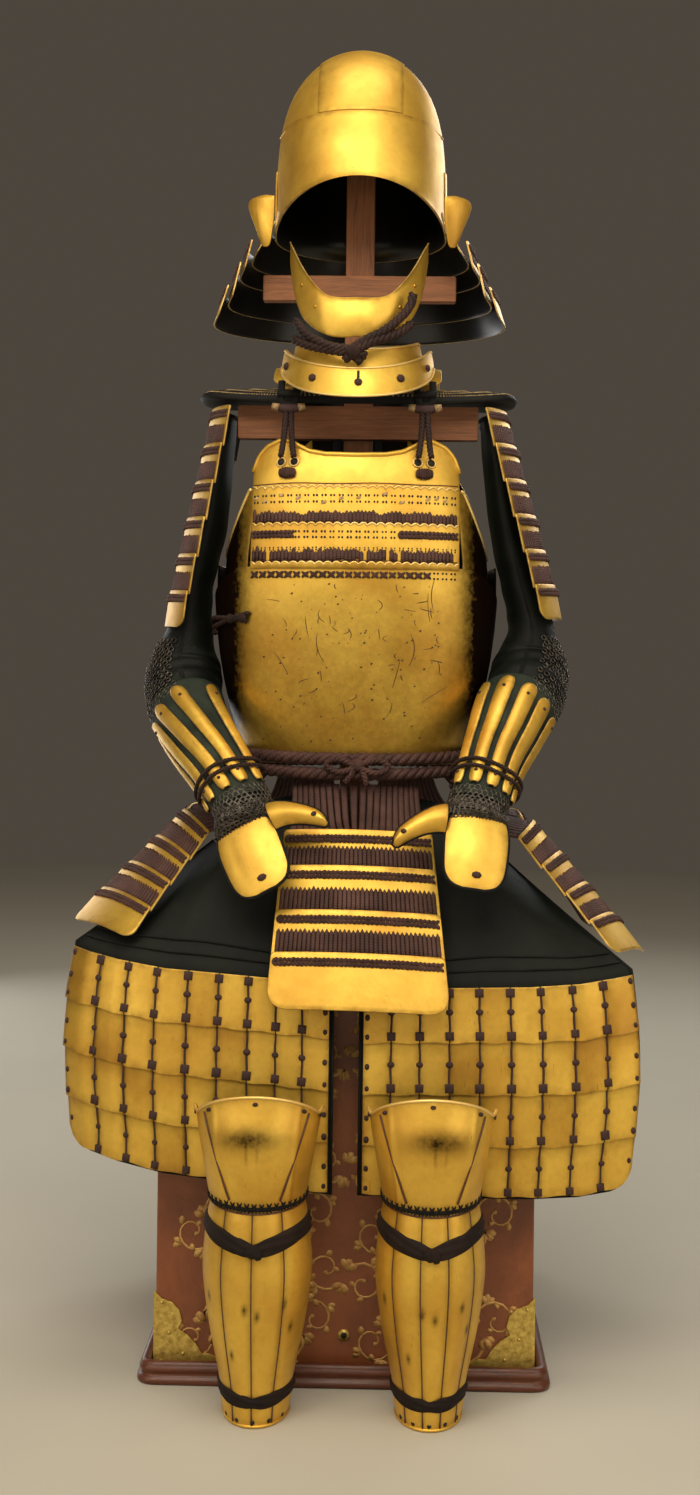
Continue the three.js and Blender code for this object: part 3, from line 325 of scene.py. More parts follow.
def timber(name, base, dark, stretch, rough, coat=0.0):
    """Planed wood: rings about 6 mm apart, drawn out along the piece."""
    material, tree, shader, where, _ = finish_of(name, Roughness=rough, Coat_Weight=coat, Coat_Roughness=0.2)
    drawn = add_node(tree, "ShaderNodeMapping", {"Vector": where, "Scale": stretch}).outputs[0]
    grain = masks(tree, drawn, 0.006, 0.3, 0.7, Detail=5.0, Roughness=0.6, Distortion=1.5)
    pores = masks(tree, drawn, 0.0012, 0.45, 0.75, Detail=3.0)
    colour = blend(tree, grain, base, dark)
    colour = blend(tree, pores, colour, dark, 0.3)
    close(tree, shader, colour, pores, 0.3, 0.0005)
    return material


LEATHER = hide("chest_hide", "#96542B", "#6C381A", "#B4824E", 0.11)
TRAY_WOOD = timber("lacquered_rosewood", "#6E3619", "#421E0D", (0.08, 1, 1), 0.42, 0.15)
PINE_UP = timber("planed_pine_upright", "#A2663C", "#714628", (1, 1, 0.06), 0.6)
PINE_ACROSS = timber("planed_pine_across", "#A2663C", "#714628", (0.06, 1, 1), 0.6)
FLOOR = plain_finish("studio_floor", "#B5B1A4", "#BBB7A9", 1.0, 0.9)

floor_mesh = bpy.data.meshes.new("floor")
floor_mesh.from_pydata([(-6, -6, 0), (6, -6, 0), (6, 6, 0), (-6, 6, 0)], [], [(0, 1, 2, 3)])
floor_mesh.materials.append(FLOOR)
floor = linked("floor", floor_mesh)
print(len(bpy.data.materials), "finishes")

# %% [markdown]
# ## Tools for thin plates
# Nearly everything here is a thin plate or cloth that follows a surface. The surface is written as a
# place function: how far across, how far down, and how far out. The same function then bends the
# plate, sets its lacing on it and aims its rivets, so nothing floats or sinks. Lengths along the surface
# go into the UV map in metres, and an attribute named rim marks the last 9 mm to an edge for wear.

# %% From points to a finished mesh
def floats(*values):
    """Arrays of numbers stretched to one shape."""
    return np.broadcast_arrays(*(asarray(value, float) for value in values))


def vec(*parts):
    """Points from separate X, Y and Z arrays of any shapes that fit together."""
    return stack(floats(*parts), -1)


def unit(v):
    return v / maximum(np.linalg.norm(v, axis=-1, keepdims=True), 1e-9)


def keep(mesh, name, values, kind="FLOAT"):
    """Keeps a number or a vector for each point of a mesh."""
    field = "value" if kind == "FLOAT" else "vector"
    made = mesh.attributes.new(name, kind, "POINT")
    made.data.foreach_set(field, asarray(values, np.float32).ravel())


def grid_index(rows, columns, wraps=False, closes=False):
    """The numbers of a grid's points; the first column or row comes again if the grid joins up."""
    index = arange(rows * columns).reshape(rows, columns)
    if wraps:
        index = concatenate([index, index[:, :1]], 1)
    return concatenate([index, index[:1]]) if closes else index


def quads(index):
    """The faces between a grid's neighbouring points."""
    corners = index[:-1, :-1], index[:-1, 1:], index[1:, 1:], index[1:, :-1]
    return stack(corners, -1).reshape(-1, 4)


def outward_faces(points, faces):
    """The same faces, turned round if the closed shape is inside out."""
    volume = 0.0
    for face in faces:
        p = points[list(face)]
        for k in range(1, len(face) - 1):
            volume += np.dot(p[0], cross(p[k], p[k + 1]))
    return faces if volume > 0 else [list(reversed(f)) for f in faces]


def ring_faces(rings, closed=False):
    """The faces over a row of rings, with a cap at each end unless the row closes on itself."""
    index = grid_index(*rings.shape[:2], True, closed)
    faces = quads(index).tolist()
    if not closed:
        faces += [index[0, -2::-1].tolist(), index[-1, :-1].tolist()]
    return outward_faces(rings.reshape(-1, 3), faces)


def mesh_object(points, faces, finishes, slots=None, uv=None, rim=None):
    """A smooth-shaded object at the origin, from points in millimetres about the post."""
    mesh = bpy.data.meshes.new("part")
    mesh.from_pydata((np.reshape(points, (-1, 3)) * MM + AXIS).tolist(), [], faces)
    for finish in finishes:
        mesh.materials.append(finish)
    mesh.polygons.foreach_set("use_smooth", np.ones(len(mesh.polygons), bool))
    if slots is not None:
        mesh.polygons.foreach_set("material_index", asarray(slots, np.int32))
    corner = zeros(len(mesh.loops), np.int32)
    mesh.loops.foreach_get("vertex_index", corner)
    layer = mesh.uv_layers.new(name="UVMap")
    if uv is not None:
        layer.data.foreach_set("uv", np.reshape(uv, (-1, 2))[corner].astype(np.float32).ravel())
    if rim is not None:
        keep(mesh, "rim", rim)
    mesh.update()
    return linked("part", mesh)


def evenly(first, last, count):
    """The middles of equal parts of a span."""
    return mix(first, last, (arange(count) + 0.5) / count)


def across_all(edge, inner, count):
    """Shares from -1 to 1: a few close to each end, and a number of even ones between them."""
    edge = array(edge)
    return concatenate([-edge, linspace(-inner, inner, count), edge[::-1]])


def flat_lengths(points, ring=False):
    """How far across and down each point of a grid lies along the surface, in millimetres."""
    across = np.linalg.norm(np.diff(points, axis=1), axis=-1)
    down = np.linalg.norm(np.diff(points, axis=0), axis=-1)
    u = concatenate([zeros((len(points), 1)), np.cumsum(across, 1)], 1)
    v = concatenate([zeros((1, points.shape[1])), np.cumsum(down, 0)], 0)
    edge = minimum(v, v[-1:] - v)
    if not ring:
        edge = minimum(edge, minimum(u, u[:, -1:] - u))
    return stack([u - u[:, -1:] / 2, v], -1), edge


WEAR_REACH = 9


def shell(outer, inner, finishes, ring=False, bevel=0.5, soot=None):
    """A closed wall between two grids of points. Its outside, inside and rim take finishes 0, 1, 2."""
    index = grid_index(*outer.shape[:2], ring)
    outside = quads(index)
    back = outer.shape[0] * outer.shape[1]
    inside = outside[:, ::-1] + back
    edges = [(index[0, :-1], index[0, 1:], 1), (index[-1, :-1], index[-1, 1:], -1)]
    if not ring:
        edges += [(index[:-1, 0], index[1:, 0], -1), (index[:-1, -1], index[1:, -1], 1)]
    rims = [
        stack([p, p + back, q + back, q] if way > 0 else [q, q + back, p + back, p], -1)
        for p, q, way in edges
    ]
    rims = concatenate(rims)
    faces = concatenate([outside, inside, rims])
    points = concatenate([outer.reshape(-1, 3), inner.reshape(-1, 3)])
    p, q, r, s = (points[faces[:, k]] for k in range(4))
    volume = np.einsum("ij,ij->i", p, cross(q, r)).sum()
    volume += np.einsum("ij,ij->i", p, cross(r, s)).sum()
    if volume < 0:
        faces = faces[:, ::-1]
    last = len(finishes) - 1
    counts = [len(outside), len(inside), len(rims)]
    slots = np.repeat([0, min(1, last), 2 if last > 1 else 0], counts)
    uv, edge = flat_lengths(outer, ring)
    uv = concatenate([uv, uv]) * MM
    rim = clamp(1 - concatenate([edge, edge]) / WEAR_REACH)
    made = mesh_object(points, faces.tolist(), finishes, slots, uv, rim)
    # darkening for the gold: real stains, and painted shade where the calling code asks for it
    if soot is not None:
        keep(made.data, "soot", np.tile(np.ravel(soot), 2))
    if bevel:
        add_modifier(made, "BEVEL", width=bevel * MM, segments=2, angle_limit=rad(40))
    return made


def add_modifier(made, kind, **settings):
    modifier = made.modifiers.new(kind.lower(), kind)
    for key, value in settings.items():
        setattr(modifier, key, value)
    return modifier


def plate(place, us, vs, thick=2.2, out=0.0, finishes=None, **more):
    """A plate of even thickness over a place function; out may be a function of across and down."""
    U, V = meshgrid(us, vs)
    lift = out(U, V) if callable(out) else out
    outer, inner = place(U, V, lift + thick), place(U, V, lift)
    return shell(outer, inner, finishes or [GOLD, BLACK], **more)


def settle(made):
    """Modifiers become plain mesh."""
    graph = bpy.context.evaluated_depsgraph_get()
    mesh = bpy.data.meshes.new_from_object(made.evaluated_get(graph))
    made.modifiers.clear()
    old, made.data = made.data, mesh
    bpy.data.meshes.remove(old)
    return made


def gather(name, parts):
    """Several pieces joined into one, under one name."""
    parts = [settle(p) if p.modifiers else p for p in parts if p is not None]
    bpy.ops.object.select_all(action="DESELECT")
    for part in parts:
        part.select_set(True)
    bpy.context.view_layer.objects.active = parts[0]
    if len(parts) > 1:
        bpy.ops.object.join()
    parts[0].name = parts[0].data.name = name
    return parts[0]


TRIANGLES = {}


def finished(made, finish_slot, *nodes):
    """Rides on the frame and stands for its CAD nodes, which it hides; finish_slot is not used."""
    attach(made, "root")
    if nodes:
        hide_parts(*nodes)
    live = made.evaluated_get(bpy.context.evaluated_depsgraph_get()) if made.modifiers else made
    TRIANGLES[made.name] = sum(len(p.vertices) - 2 for p in live.data.polygons)
    return made


def tell(what):
    print(what, "- so far", sum(TRIANGLES.values()), "triangles")


def dress(name, parts, finish_slot, *nodes):
    """Gathers parts into one finished piece."""
    return finished(gather(name, parts), finish_slot, *nodes)


# %% [markdown]
# ## Stamping with Geometry Nodes
# Silk stitches, mail rings, rivets and knots repeat by the hundred. One Geometry Nodes tree puts a small
# piece on every point of a carrier mesh, turned and sized by the point's own attributes, with a
# little seeded variation so that no two stitches are quite alike. The instances are realised and given
# their finish inside the tree, and the result is kept as a plain mesh.


# %% The stamp tree
def stamp_tree():
    tree = bpy.data.node_groups.new("stamp on places", "GeometryNodeTree")
    sockets = {"Places": "Geometry", "Piece": "Object", "Size variation": "Float", "Seed": "Int"}
    for name, kind in {**sockets, "Finish": "Material"}.items():
        tree.interface.new_socket(name, in_out="INPUT", socket_type="NodeSocket" + kind)
    tree.interface.new_socket("Made", in_out="OUTPUT", socket_type="NodeSocketGeometry")
    given = add_node(tree, "NodeGroupInput").outputs
    piece = add_node(tree, "GeometryNodeObjectInfo", {"Object": given["Piece"]})
    turn, size = (
        add_node(tree, "GeometryNodeInputNamedAttribute", {"Name": key}, data_type="FLOAT_VECTOR")
        for key in ("turn", "size")
    )
    least, most = (times(tree, 1.0, given["Size variation"], way) for way in ("SUBTRACT", "ADD"))
    values = {2: least, 3: most, "Seed": given["Seed"]}
    chance = add_node(tree, "FunctionNodeRandomValue", values, data_type="FLOAT").outputs[1]
    values = {0: size.outputs[0], "Scale": chance}
    scale = add_node(tree, "ShaderNodeVectorMath", values, operation="SCALE").outputs[0]
    euler = add_node(tree, "FunctionNodeEulerToRotation", {0: turn.outputs[0]}).outputs[0]
    values = {"Points": given["Places"], "Instance": piece.outputs["Geometry"], "Rotation": euler}
    values["Scale"] = scale
    stamped = add_node(tree, "GeometryNodeInstanceOnPoints", values).outputs[0]
    real = add_node(tree, "GeometryNodeRealizeInstances", {0: stamped}).outputs[0]
    coated = add_node(tree, "GeometryNodeSetMaterial", {"Geometry": real, "Material": given["Finish"]})
    add_node(tree, "NodeGroupOutput", {0: coated.outputs[0]})
    return tree


STAMP = stamp_tree()


def template(name, points, faces):
    """A small piece one unit across, to be stamped at any size."""
    mesh = bpy.data.meshes.new(name)
    mesh.from_pydata([tuple(p) for p in points], [], [tuple(f) for f in faces])
    mesh.polygons.foreach_set("use_smooth", np.ones(len(mesh.polygons), bool))
    mesh.uv_layers.new(name="UVMap")
    return linked(name, mesh)


def lathe_template(name, profile, sides):
    """A turned template from radius and height pairs, closed at both ends by poles."""
    points, faces = [(0, 0, profile[0][1])], []
    for radius, height in profile[1:-1]:
        for k in range(sides):
            angle = 2 * pi * k / sides
            points.append((radius * math.cos(angle), radius * math.sin(angle), height))
    points.append((0, 0, profile[-1][1]))
    rings = len(profile) - 2
    for k in range(sides):
        j = (k + 1) % sides
        faces.append((0, 1 + j, 1 + k))
        for r in range(rings - 1):
            a, b = 1 + r * sides, 1 + (r + 1) * sides
            faces.append((a + k, a + j, b + j, b + k))
        last = 1 + (rings - 1) * sides
        faces.append((last + k, last + j, len(points) - 1))
    return template(name, points, faces)


def ring_template(name, around, sides, thick):
    points, faces = [], []
    for i in range(around):
        a = 2 * pi * i / around
        for j in range(sides):
            b = 2 * pi * j / sides
            r = 0.5 - thick / 2 + thick / 2 * math.cos(b)
            points.append((r * math.cos(a), r * math.sin(a), thick / 2 * math.sin(b)))
            i2, j2 = (i + 1) % around, (j + 1) % sides
            faces.append((i * sides + j, i2 * sides + j, i2 * sides + j2, i * sides + j2))
    return template(name, points, faces)


BEAD = lathe_template("bead", [(0, -0.5), (0.36, -0.34), (0.5, 0.0), (0.36, 0.34), (0, 0.5)], 7)
DOME = lathe_template("dome", [(0, -0.2), (0.5, -0.2), (0.5, 0.0), (0.38, 0.3), (0, 0.42)], 10)
DISC = lathe_template("disc", [(0, -0.5), (0.5, -0.5), (0.5, 0.5), (0, 0.5)], 10)
RING = ring_template("ring", 9, 4, 0.2)
SQUARE = lathe_template("square knot", [(0, -0.5), (0.7, -0.5), (0.66, 0.3), (0.4, 0.5), (0, 0.5)], 4)


def euler_of(x, y, z):
    """Euler XYZ angles of frames given by their three unit axes."""
    pitch = np.arcsin(clip(-x[..., 2], -1, 1))
    return stack([np.arctan2(y[..., 2], z[..., 2]), pitch, np.arctan2(x[..., 1], x[..., 0])], -1)


def on_surface(place, u, v, out=0.0, size=(4, 4, 2), spin=0.0):
    """Places on a surface: the stamp's X runs across, its Y down and its Z out of the surface."""
    u, v, out = (np.ravel(a) for a in floats(u, v, out))
    e = 1e-3
    x = place(u + e, v, out) - place(u - e, v, out)
    y = place(u, v + e, out) - place(u, v - e, out)
    z = unit(cross(x, y))
    proud = place(u, v, out + 1.0) - place(u, v, out)
    z = z * np.sign(np.sum(z * proud, -1, keepdims=True))
    x = unit(x - z * np.sum(x * z, -1, keepdims=True))
    y = cross(z, x)
    s = np.ravel(broadcast_to(rad(spin), u.shape))[:, None]
    x, y = x * cos(s) + y * sin(s), y * cos(s) - x * sin(s)
    sizes = broadcast_to(asarray(size, float), (len(u), 3))
    return place(u, v, out), euler_of(x, y, z), sizes


def stamp(piece, places, finish, variation=0.06, seed=1):
    """Runs the stamp tree on a carrier mesh and keeps the result as a plain mesh."""
    points, turns, sizes = places
    if not len(points):
        return None
    mesh = bpy.data.meshes.new("places")
    mesh.from_pydata((points * MM + AXIS).tolist(), [], [])
    keep(mesh, "turn", turns, "FLOAT_VECTOR")
    keep(mesh, "size", sizes * MM, "FLOAT_VECTOR")
    carrier = linked("part", mesh)
    modifier = carrier.modifiers.new("stamp", "NODES")
    modifier.node_group = STAMP
    socket = {s.name: s.identifier for s in STAMP.interface.items_tree if s.in_out == "INPUT"}
    values = {"Piece": piece, "Size variation": float(variation), "Seed": int(seed), "Finish": finish}
    for key, value in values.items():
        modifier[socket[key]] = value
    settle(carrier)
    if not carrier.data.materials:
        carrier.data.materials.append(finish)
    for key in ("turn", "size"):
        if key in carrier.data.attributes:
            carrier.data.attributes.remove(carrier.data.attributes[key])
    return carrier


# %% Braids and cords
def strips(place, centres, v0, v1, width, height, out, finish, point=3.0, rows=4):
    """Flat braids lying side by side down a surface, their top ends drawn to a point."""
    centres = asarray(centres, float)
    middle = (np.max(v0) + np.min(v1)) / 2
    per_mm = 2e-3 / np.linalg.norm(
        place(centres + 1e-3, middle, 0) - place(centres - 1e-3, middle, 0), axis=-1
    )
    length = np.linalg.norm(place(centres, v1, 0) - place(centres, v0, 0), axis=-1)
    t = linspace(0, 1, rows)
    profile = array([[-1, 0], [-0.62, 0.85], [0, 1.0], [0.62, 0.85], [1, 0]])
    start = clip(point / np.mean(length), 0, 0.4) if point else 0.02
    levels = concatenate([[0.0], mix(start, 1, t)])
    widths = concatenate([[0.2 if point else 1.0], np.ones(rows)])
    sections = []
    for level, share in zip(levels, widths):
        for across, rise in profile:
            u = centres + across * share * per_mm * width / 2
            v = mix(v0, v1, level) * np.ones_like(centres)
            base = out(v) if callable(out) else out
            sections.append(place(u, v, base + rise * height))
    grid = stack(sections, 1).reshape(len(centres), len(levels), 5, 3)
    n, m = len(centres), len(levels)
    index = arange(n * m * 5).reshape(n, m, 5)
    wrapped_index = concatenate([index, index[:, :, :1]], 2)
    sides = concatenate([quads(one) for one in wrapped_index])
    # the strips' own handedness tells which way their faces have to turn
    x = grid[0, 1, 4] - grid[0, 1, 0]
    y = grid[0, 2, 2] - grid[0, 1, 2]
    z = grid[0, 1, 2] - (grid[0, 1, 0] + grid[0, 1, 4]) / 2
    flip = np.dot(cross(x, y), z) < 0
    faces = sides[:, ::-1] if flip else sides
    ends = [index[:, 0, ::-1].tolist(), index[:, -1].tolist()]
    ends = [[list(reversed(f)) if flip else f for f in end] for end in ends]
    uv = zeros((n, m, 5, 2))
    uv[..., 0] = profile[:, 0] * 0.5
    uv[..., 1] = (levels[None, :, None] * length[:, None, None] + rng.uniform(0, 3, (n, 1, 1))) * MM
    return mesh_object(grid, faces.tolist() + ends[0] + ends[1], [finish], uv=uv)


def sweep(path, section, finish, closed=False, up=None):
    """A solid along a path. Its section is a width, a width and height, or a function of the share t."""
    path = asarray(path, float)
    n = len(path)
    ahead = np.roll(path, -1, 0) if closed else np.vstack([path[1:], path[-1:]])
    behind = np.roll(path, 1, 0) if closed else np.vstack([path[:1], path[:-1]])
    along = unit(ahead - behind)
    frames, normal = [], array(up or (0.0, 0.0, 1.0), float)
    for k in range(n):
        base = array(up, float) if up else normal
        normal = base - along[k] * np.dot(base, along[k])
        if np.linalg.norm(normal) < 1e-3:
            normal = cross(along[k], (1.0, 0.3, 0.2))
        normal = normal / np.linalg.norm(normal)
        frames.append((cross(along[k], normal), normal))
    step = np.linalg.norm(np.diff(path, axis=0), axis=1)
    run = concatenate([[0], np.cumsum(step)])
    section = section if callable(section) else round_section(*np.ravel(section))
    rings = []
    for k in range(n):
        across, out = frames[k]
        pairs = asarray(section(k / max(1, n - 1)))
        rings.append(path[k] + pairs[:, :1] * across + pairs[:, 1:2] * out)
    rings = array(rings)
    m = rings.shape[1]
    uv = zeros((n, m, 2))
    uv[..., 0] = linspace(-0.5, 0.5, m)
    uv[..., 1] = run[:, None] * MM
    return mesh_object(rings, ring_faces(rings, closed), [finish], uv=uv)


def round_section(width, height=None, sides=8):
    angle = 2 * pi * arange(sides) / sides
    ring = stack([cos(angle) * width / 2, sin(angle) * (height or width) / 2], -1)
    return lambda t: ring


def curve_through(points, count):
    """A smooth line through a few points, evenly sampled."""
    p = asarray(points, float)
    pad = np.vstack([2 * p[0] - p[1], p, 2 * p[-1] - p[-2]])
    at = linspace(0, len(p) - 1, count)
    i = minimum(at.astype(int), len(p) - 2)
    t = (at - i)[:, None]
    a, b, c, d = pad[i], pad[i + 1], pad[i + 2], pad[i + 3]
    return 0.5 * (
        2 * b + (c - a) * t + (2 * a - 5 * b + 4 * c - d) * t**2 + (3 * b - a - 3 * c + d) * t**3
    )


def twisted(path, diameter, finish, strands=3, pitch=None, closed=False, per_turn=10):
    """A laid rope: strands wound round the path."""
    path = asarray(path, float)
    step = np.linalg.norm(np.diff(path, axis=0), axis=1)
    run = concatenate([[0], np.cumsum(step)])
    pitch = pitch or diameter * 2.2
    count = max(8, int(run[-1] / pitch * per_turn))
    at = linspace(0, run[-1], count)
    line = stack([interp(at, run, path[:, k]) for k in range(3)], -1)
    along = unit(np.gradient(line, axis=0))
    side = unit(cross(along, (0.3, 0.2, 1.0)))
    other = cross(side, along)
    turns = round(run[-1] / pitch) if closed else run[-1] / pitch
    phase = 2 * pi * turns * at / run[-1]
    strand, offset = diameter * 0.56, diameter * 0.25
    made = []
    for k in range(strands):
        angle = (phase + 2 * pi * k / strands)[:, None]
        track = line + offset * (cos(angle) * side + sin(angle) * other)
        if closed:
            track = track[:-1]
        made.append(sweep(track, round_section(strand, sides=6), finish, closed=closed))
    return gather("rope", made)


print("helpers ready")

# %% [markdown]
# ## Tray, chest and stand
# The chest is a plain wooden box under dyed leather, with a lid that slips over it, brass mounts on its
# feet and a moulded tray. Their solids are already true, so a merged copy of each gets
# its worn, rounded edges from a Bevel modifier. The tray's moulding is one profile swept round.


# %% Boxes with worn edges
def weld(made):
    """Merges what lies together, so that poles and seams are closed."""
    import bmesh

    work = bmesh.new()
    work.from_mesh(made.data)
    bmesh.ops.remove_doubles(work, verts=work.verts, dist=1e-5)
    bmesh.ops.dissolve_degenerate(work, edges=work.edges, dist=1e-6)
    work.to_mesh(made.data)
    work.free()
    return made


def dressed_copy(node, finish, bevel, segments=3):
    """A merged copy of a CAD node with rounded edges and its own finish."""
    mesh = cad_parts[node].data.copy()
    made = linked(node.replace("_", "-"), mesh)
    mesh.materials.clear()
    mesh.materials.append(finish)
    weld(made)
    mesh.polygons.foreach_set("use_smooth", zeros(len(mesh.polygons), bool))
    limits = {"limit_method": "ANGLE", "angle_limit": rad(40)}
    add_modifier(made, "BEVEL", width=bevel * MM, segments=segments, harden_normals=False, **limits)
    return made


finished(dressed_copy("chest_body", LEATHER, 2.5), "chest_leather", "chest_body")
finished(dressed_copy("chest_lid", LEATHER, 3.0), "chest_leather", "chest_lid")
finished(dressed_copy("stand_post", PINE_UP, 1.5), "stand_wood", "stand_post")
for bar in ("stand_shoulder_bar", "stand_head_bar"):
    finished(dressed_copy(bar, PINE_ACROSS, 2.0), "stand_wood", bar)

# %% The tray: one moulding round a floor
TRAY = {"width": 522, "front": -230, "back": 262, "floor": 9}
CHEST = {"width": 478, "front": -200, "back": 232}
TRAY_MOULDING = (
    # how far in from the tray's edge, height
    (3.0, 0.0), (0.6, 1.5), (0.0, 4.0), (0.4, 8.0), (4.5, 10.0), (5.5, 12.0), (4.6, 15.0),
    (3.2, 18.0), (3.4, 20.5), (5.0, 22.0), (5.6, 24.0), (7.0, 26.5), (9.5, 28.0), (14.0, 27.6),
    (17.2, 26.0), (17.4, 9.0), (22.0, 8.6), (22.0, 0.0),
)


def rounded_rectangle(width, front, back, radius):
    """Points round a rectangle in plan, and how each of them moves when the outline shrinks."""
    points, inward = [], []
    for sx, sy, start in ((1, 1, 0), (-1, 1, 90), (-1, -1, 180), (1, -1, 270)):
        cx = sx * (width / 2 - radius)
        cy = (back - radius) if sy > 0 else (front + radius)
        for a in rad(start + linspace(0, 90, 5)):
            points.append((cx + radius * math.cos(a), cy + radius * math.sin(a)))
            inward.append((-math.cos(a), -math.sin(a)))
    return array(points), array(inward)


plan, inward = rounded_rectangle(TRAY["width"], TRAY["front"], TRAY["back"], 24)
profile = array(TRAY_MOULDING)
ring = plan[:, None, :] + inward[:, None, :] * profile[None, :, :1]
heights = broadcast_to(profile[None, :, 1:], (*ring.shape[:2], 1))
grid = concatenate([ring, heights], -1)
moulding = mesh_object(grid, ring_faces(grid, True), [TRAY_WOOD])
inset = 21.5
low_corner = (-TRAY["width"] / 2 + inset, TRAY["front"] + inset, 0.4)
high_corner = (TRAY["width"] / 2 - inset, TRAY["back"] - inset, TRAY["floor"] - 0.6)
corners = [(x, y, z) for z in (0, 1) for y in (0, 1) for x in (0, 1)]
corners = array([[(low_corner, high_corner)[c[k]][k] for k in range(3)] for c in corners], float)
box_faces = [[0, 2, 3, 1], [4, 5, 7, 6], [0, 1, 5, 4], [2, 6, 7, 3], [0, 4, 6, 2], [1, 3, 7, 5]]
board = mesh_object(corners, outward_faces(corners, box_faces), [TRAY_WOOD])
board.data.polygons.foreach_set("use_smooth", zeros(6, bool))
dress("tray", [moulding, board], "tray_wood", "base_tray")

# %% [markdown]
# ## Scrolls painted on the leather
# The chest is painted with karakusa, the traditional scrolling vine: a stem that curls into spirals
# with small leaves. Here one motif of flat strips is drawn by rule, and the stamp tree repeats it
# over each face of the chest, a fifth of a millimetre proud, like thick paint.


# %% One scroll of the vine, and its leaf
def cut_out(name, left, right):
    """A flat piece between two edges, half a unit thick each way."""
    n = len(left)
    flat = concatenate([left, right])
    points = concatenate([np.c_[flat, full(2 * n, 0.5)], np.c_[flat, full(2 * n, -0.5)]])
    faces = [(0, n, 3 * n, 2 * n), (n - 1, 3 * n - 1, 4 * n - 1, 2 * n - 1)]
    for k in range(n - 1):
        a, b, c, d = k, k + 1, n + k + 1, n + k
        e, f, g, h = (corner + 2 * n for corner in (a, b, c, d))
        faces += [(a, b, c, d), (e, h, g, f), (a, e, f, b), (d, c, g, h)]
    return template(name, points, outward_faces(points, faces))


def scroll_line(count):
    """The stem in a motif one unit across: a short lead, then a curl of a little over one turn."""
    t = linspace(0, 1, count - 2)
    radius, angle = 0.235 * (1 - t) ** 0.85 + 0.02, 0.2 + 7.6 * t
    curl = stack([0.235 - radius * cos(angle), 0.03 + 1.05 * radius * sin(angle)], -1)
    return np.vstack([[[-0.06, 0.2], [-0.02, 0.12]], curl])


stem = scroll_line(20)
stem_along = unit(np.gradient(stem, axis=0))
stem_side = stack([-stem_along[:, 1], stem_along[:, 0]], -1) * mix(0.017, 0.009, linspace(0, 1, 20))[:, None]
stem_side[-2:] *= 2.6
SCROLL = cut_out("scroll", stem + stem_side, stem - stem_side)
leaf_edge = array([(0.06, 0), (0.28, 0.3), (0.36, 0.66), (0.1, 1)])
LEAF = cut_out("leaf", leaf_edge * (-1, 1), leaf_edge)
SCROLLS = [(0, 0, 0, 1), (0, 0, pi, 1)]
LEAVES = []
for share, fan, size in (
    # the stem's point, degrees away from the stem, length
    (2, (5, 50, 95), 0.13), (5, (15, 60, 105), 0.115), (8, (20, 75), 0.1), (11, (50,), 0.1),
    (14, (50,), 0.075), (6, (-60,), 0.09),
):
    ahead = math.atan2(*(stem[share + 1] - stem[share - 1])[::-1])
    for away in fan:
        x, y = stem[share]
        turn = ahead + rad(away - 90)
        LEAVES += [(x, y, turn, size), (-x, -y, turn + pi, size)]
LID = {"width": 492, "front": -207, "back": 239}


def vine_places(width, z0, z1, tile, face, marks):
    """Where the marks of a motif fall on an upright wall; face(x) gives plan position and heading."""
    rows, count = max(1, round((z1 - z0) / (tile * 0.62))), round(width / tile)
    out = []
    for r, k in ((r, k) for r in range(rows) for k in range(count - r % 2)):
        z = z0 + (z1 - z0) * (r + 0.5) / rows
        x = (k - (count - r % 2 - 1) / 2) * (width - 1.1 * tile) / (count - 1)
        lean = rad(28 - 56 * (r % 2) + 180 * ((k + r) % 2))
        for mx, my, turn, size in marks:
            px = x + tile * (mx * math.cos(lean) - my * math.sin(lean))
            pz = z + tile * (mx * math.sin(lean) + my * math.cos(lean))
            place, heading = face(px)
            wall = Matrix.Rotation(rad(heading), 3, "Z") @ Matrix.Rotation(rad(90), 3, "X")
            spin = wall @ Matrix.Rotation(lean + turn, 3, "Z")
            out.append(((*place, pz), tuple(spin.to_euler()), (size * tile, size * tile, 0.5)))
    return [array(part) for part in zip(*out)]


vines = []
proud = 0.2
for block, z0, z1, tile in ((CHEST, 30, 436, 110), (LID, 446, 524, 78)):
    depth = block["back"] - block["front"]
    middle = (block["back"] + block["front"]) / 2
    walls = (
        (block["width"], lambda x: ((x, block["front"] - proud), 0)),
        (block["width"], lambda x: ((-x, block["back"] + proud), 180)),
        (depth, lambda x: ((block["width"] / 2 + proud, middle + x), 90)),
        (depth, lambda x: ((-block["width"] / 2 - proud, middle - x), -90)),
    )
    for width, face in walls:
        for piece, marks in ((SCROLL, SCROLLS), (LEAF, LEAVES)):
            places = vine_places(width - 14, z0, z1, tile, face, marks)
            vines.append(stamp(piece, places, PAINT, 0.05, 4))
dress("chest_vines", vines, "brass")

# %% Brass corner mounts, engraved, with a round grommet between them
for end in ("front", "back"):
    for side, s in SIDES:
        node = f"corner_{end}_{side}"
        mount = dressed_copy(node, BRASS, 0.5, 2)
        low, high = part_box(node)
        front = low.y if end == "front" else high.y
        facing = -1 if end == "front" else 1
        corner = (low.x if s < 0 else high.x, front, low.z)
        spots = [(10, 10), (70, 9), (10, 84), (38, 20), (20, 46)]
        x, y, z = (array(corner) - AXIS) / MM
        places = [[x - s * a, y + facing * 0.2, z + b] for a, b in spots]
        turns = np.tile((rad(90) * (1 if facing < 0 else -1), 0, 0), (len(places), 1))
        sizes = np.tile((5, 5, 3), (len(places), 1))
        nails = stamp(DOME, (array(places), turns, sizes), BRASS, 0.05, 5)
        dress(f"corner_mount_{end}_{side}", [mount, nails], "brass", node)

grommet = (array([[0.0, CHEST["front"] - 0.4, 58.0]]), array([[rad(90), 0, 0]]), array([[15.0, 15, 5]]))
collar = stamp(DISC, grommet, BRASS, 0)
hole = (grommet[0] + (0, -2.6, 0), grommet[1], array([[8.0, 8, 0.8]]))
dress("chest_grommet", [collar, stamp(DISC, hole, HOLE, 0)], "brass")
tell("chest, tray and stand")

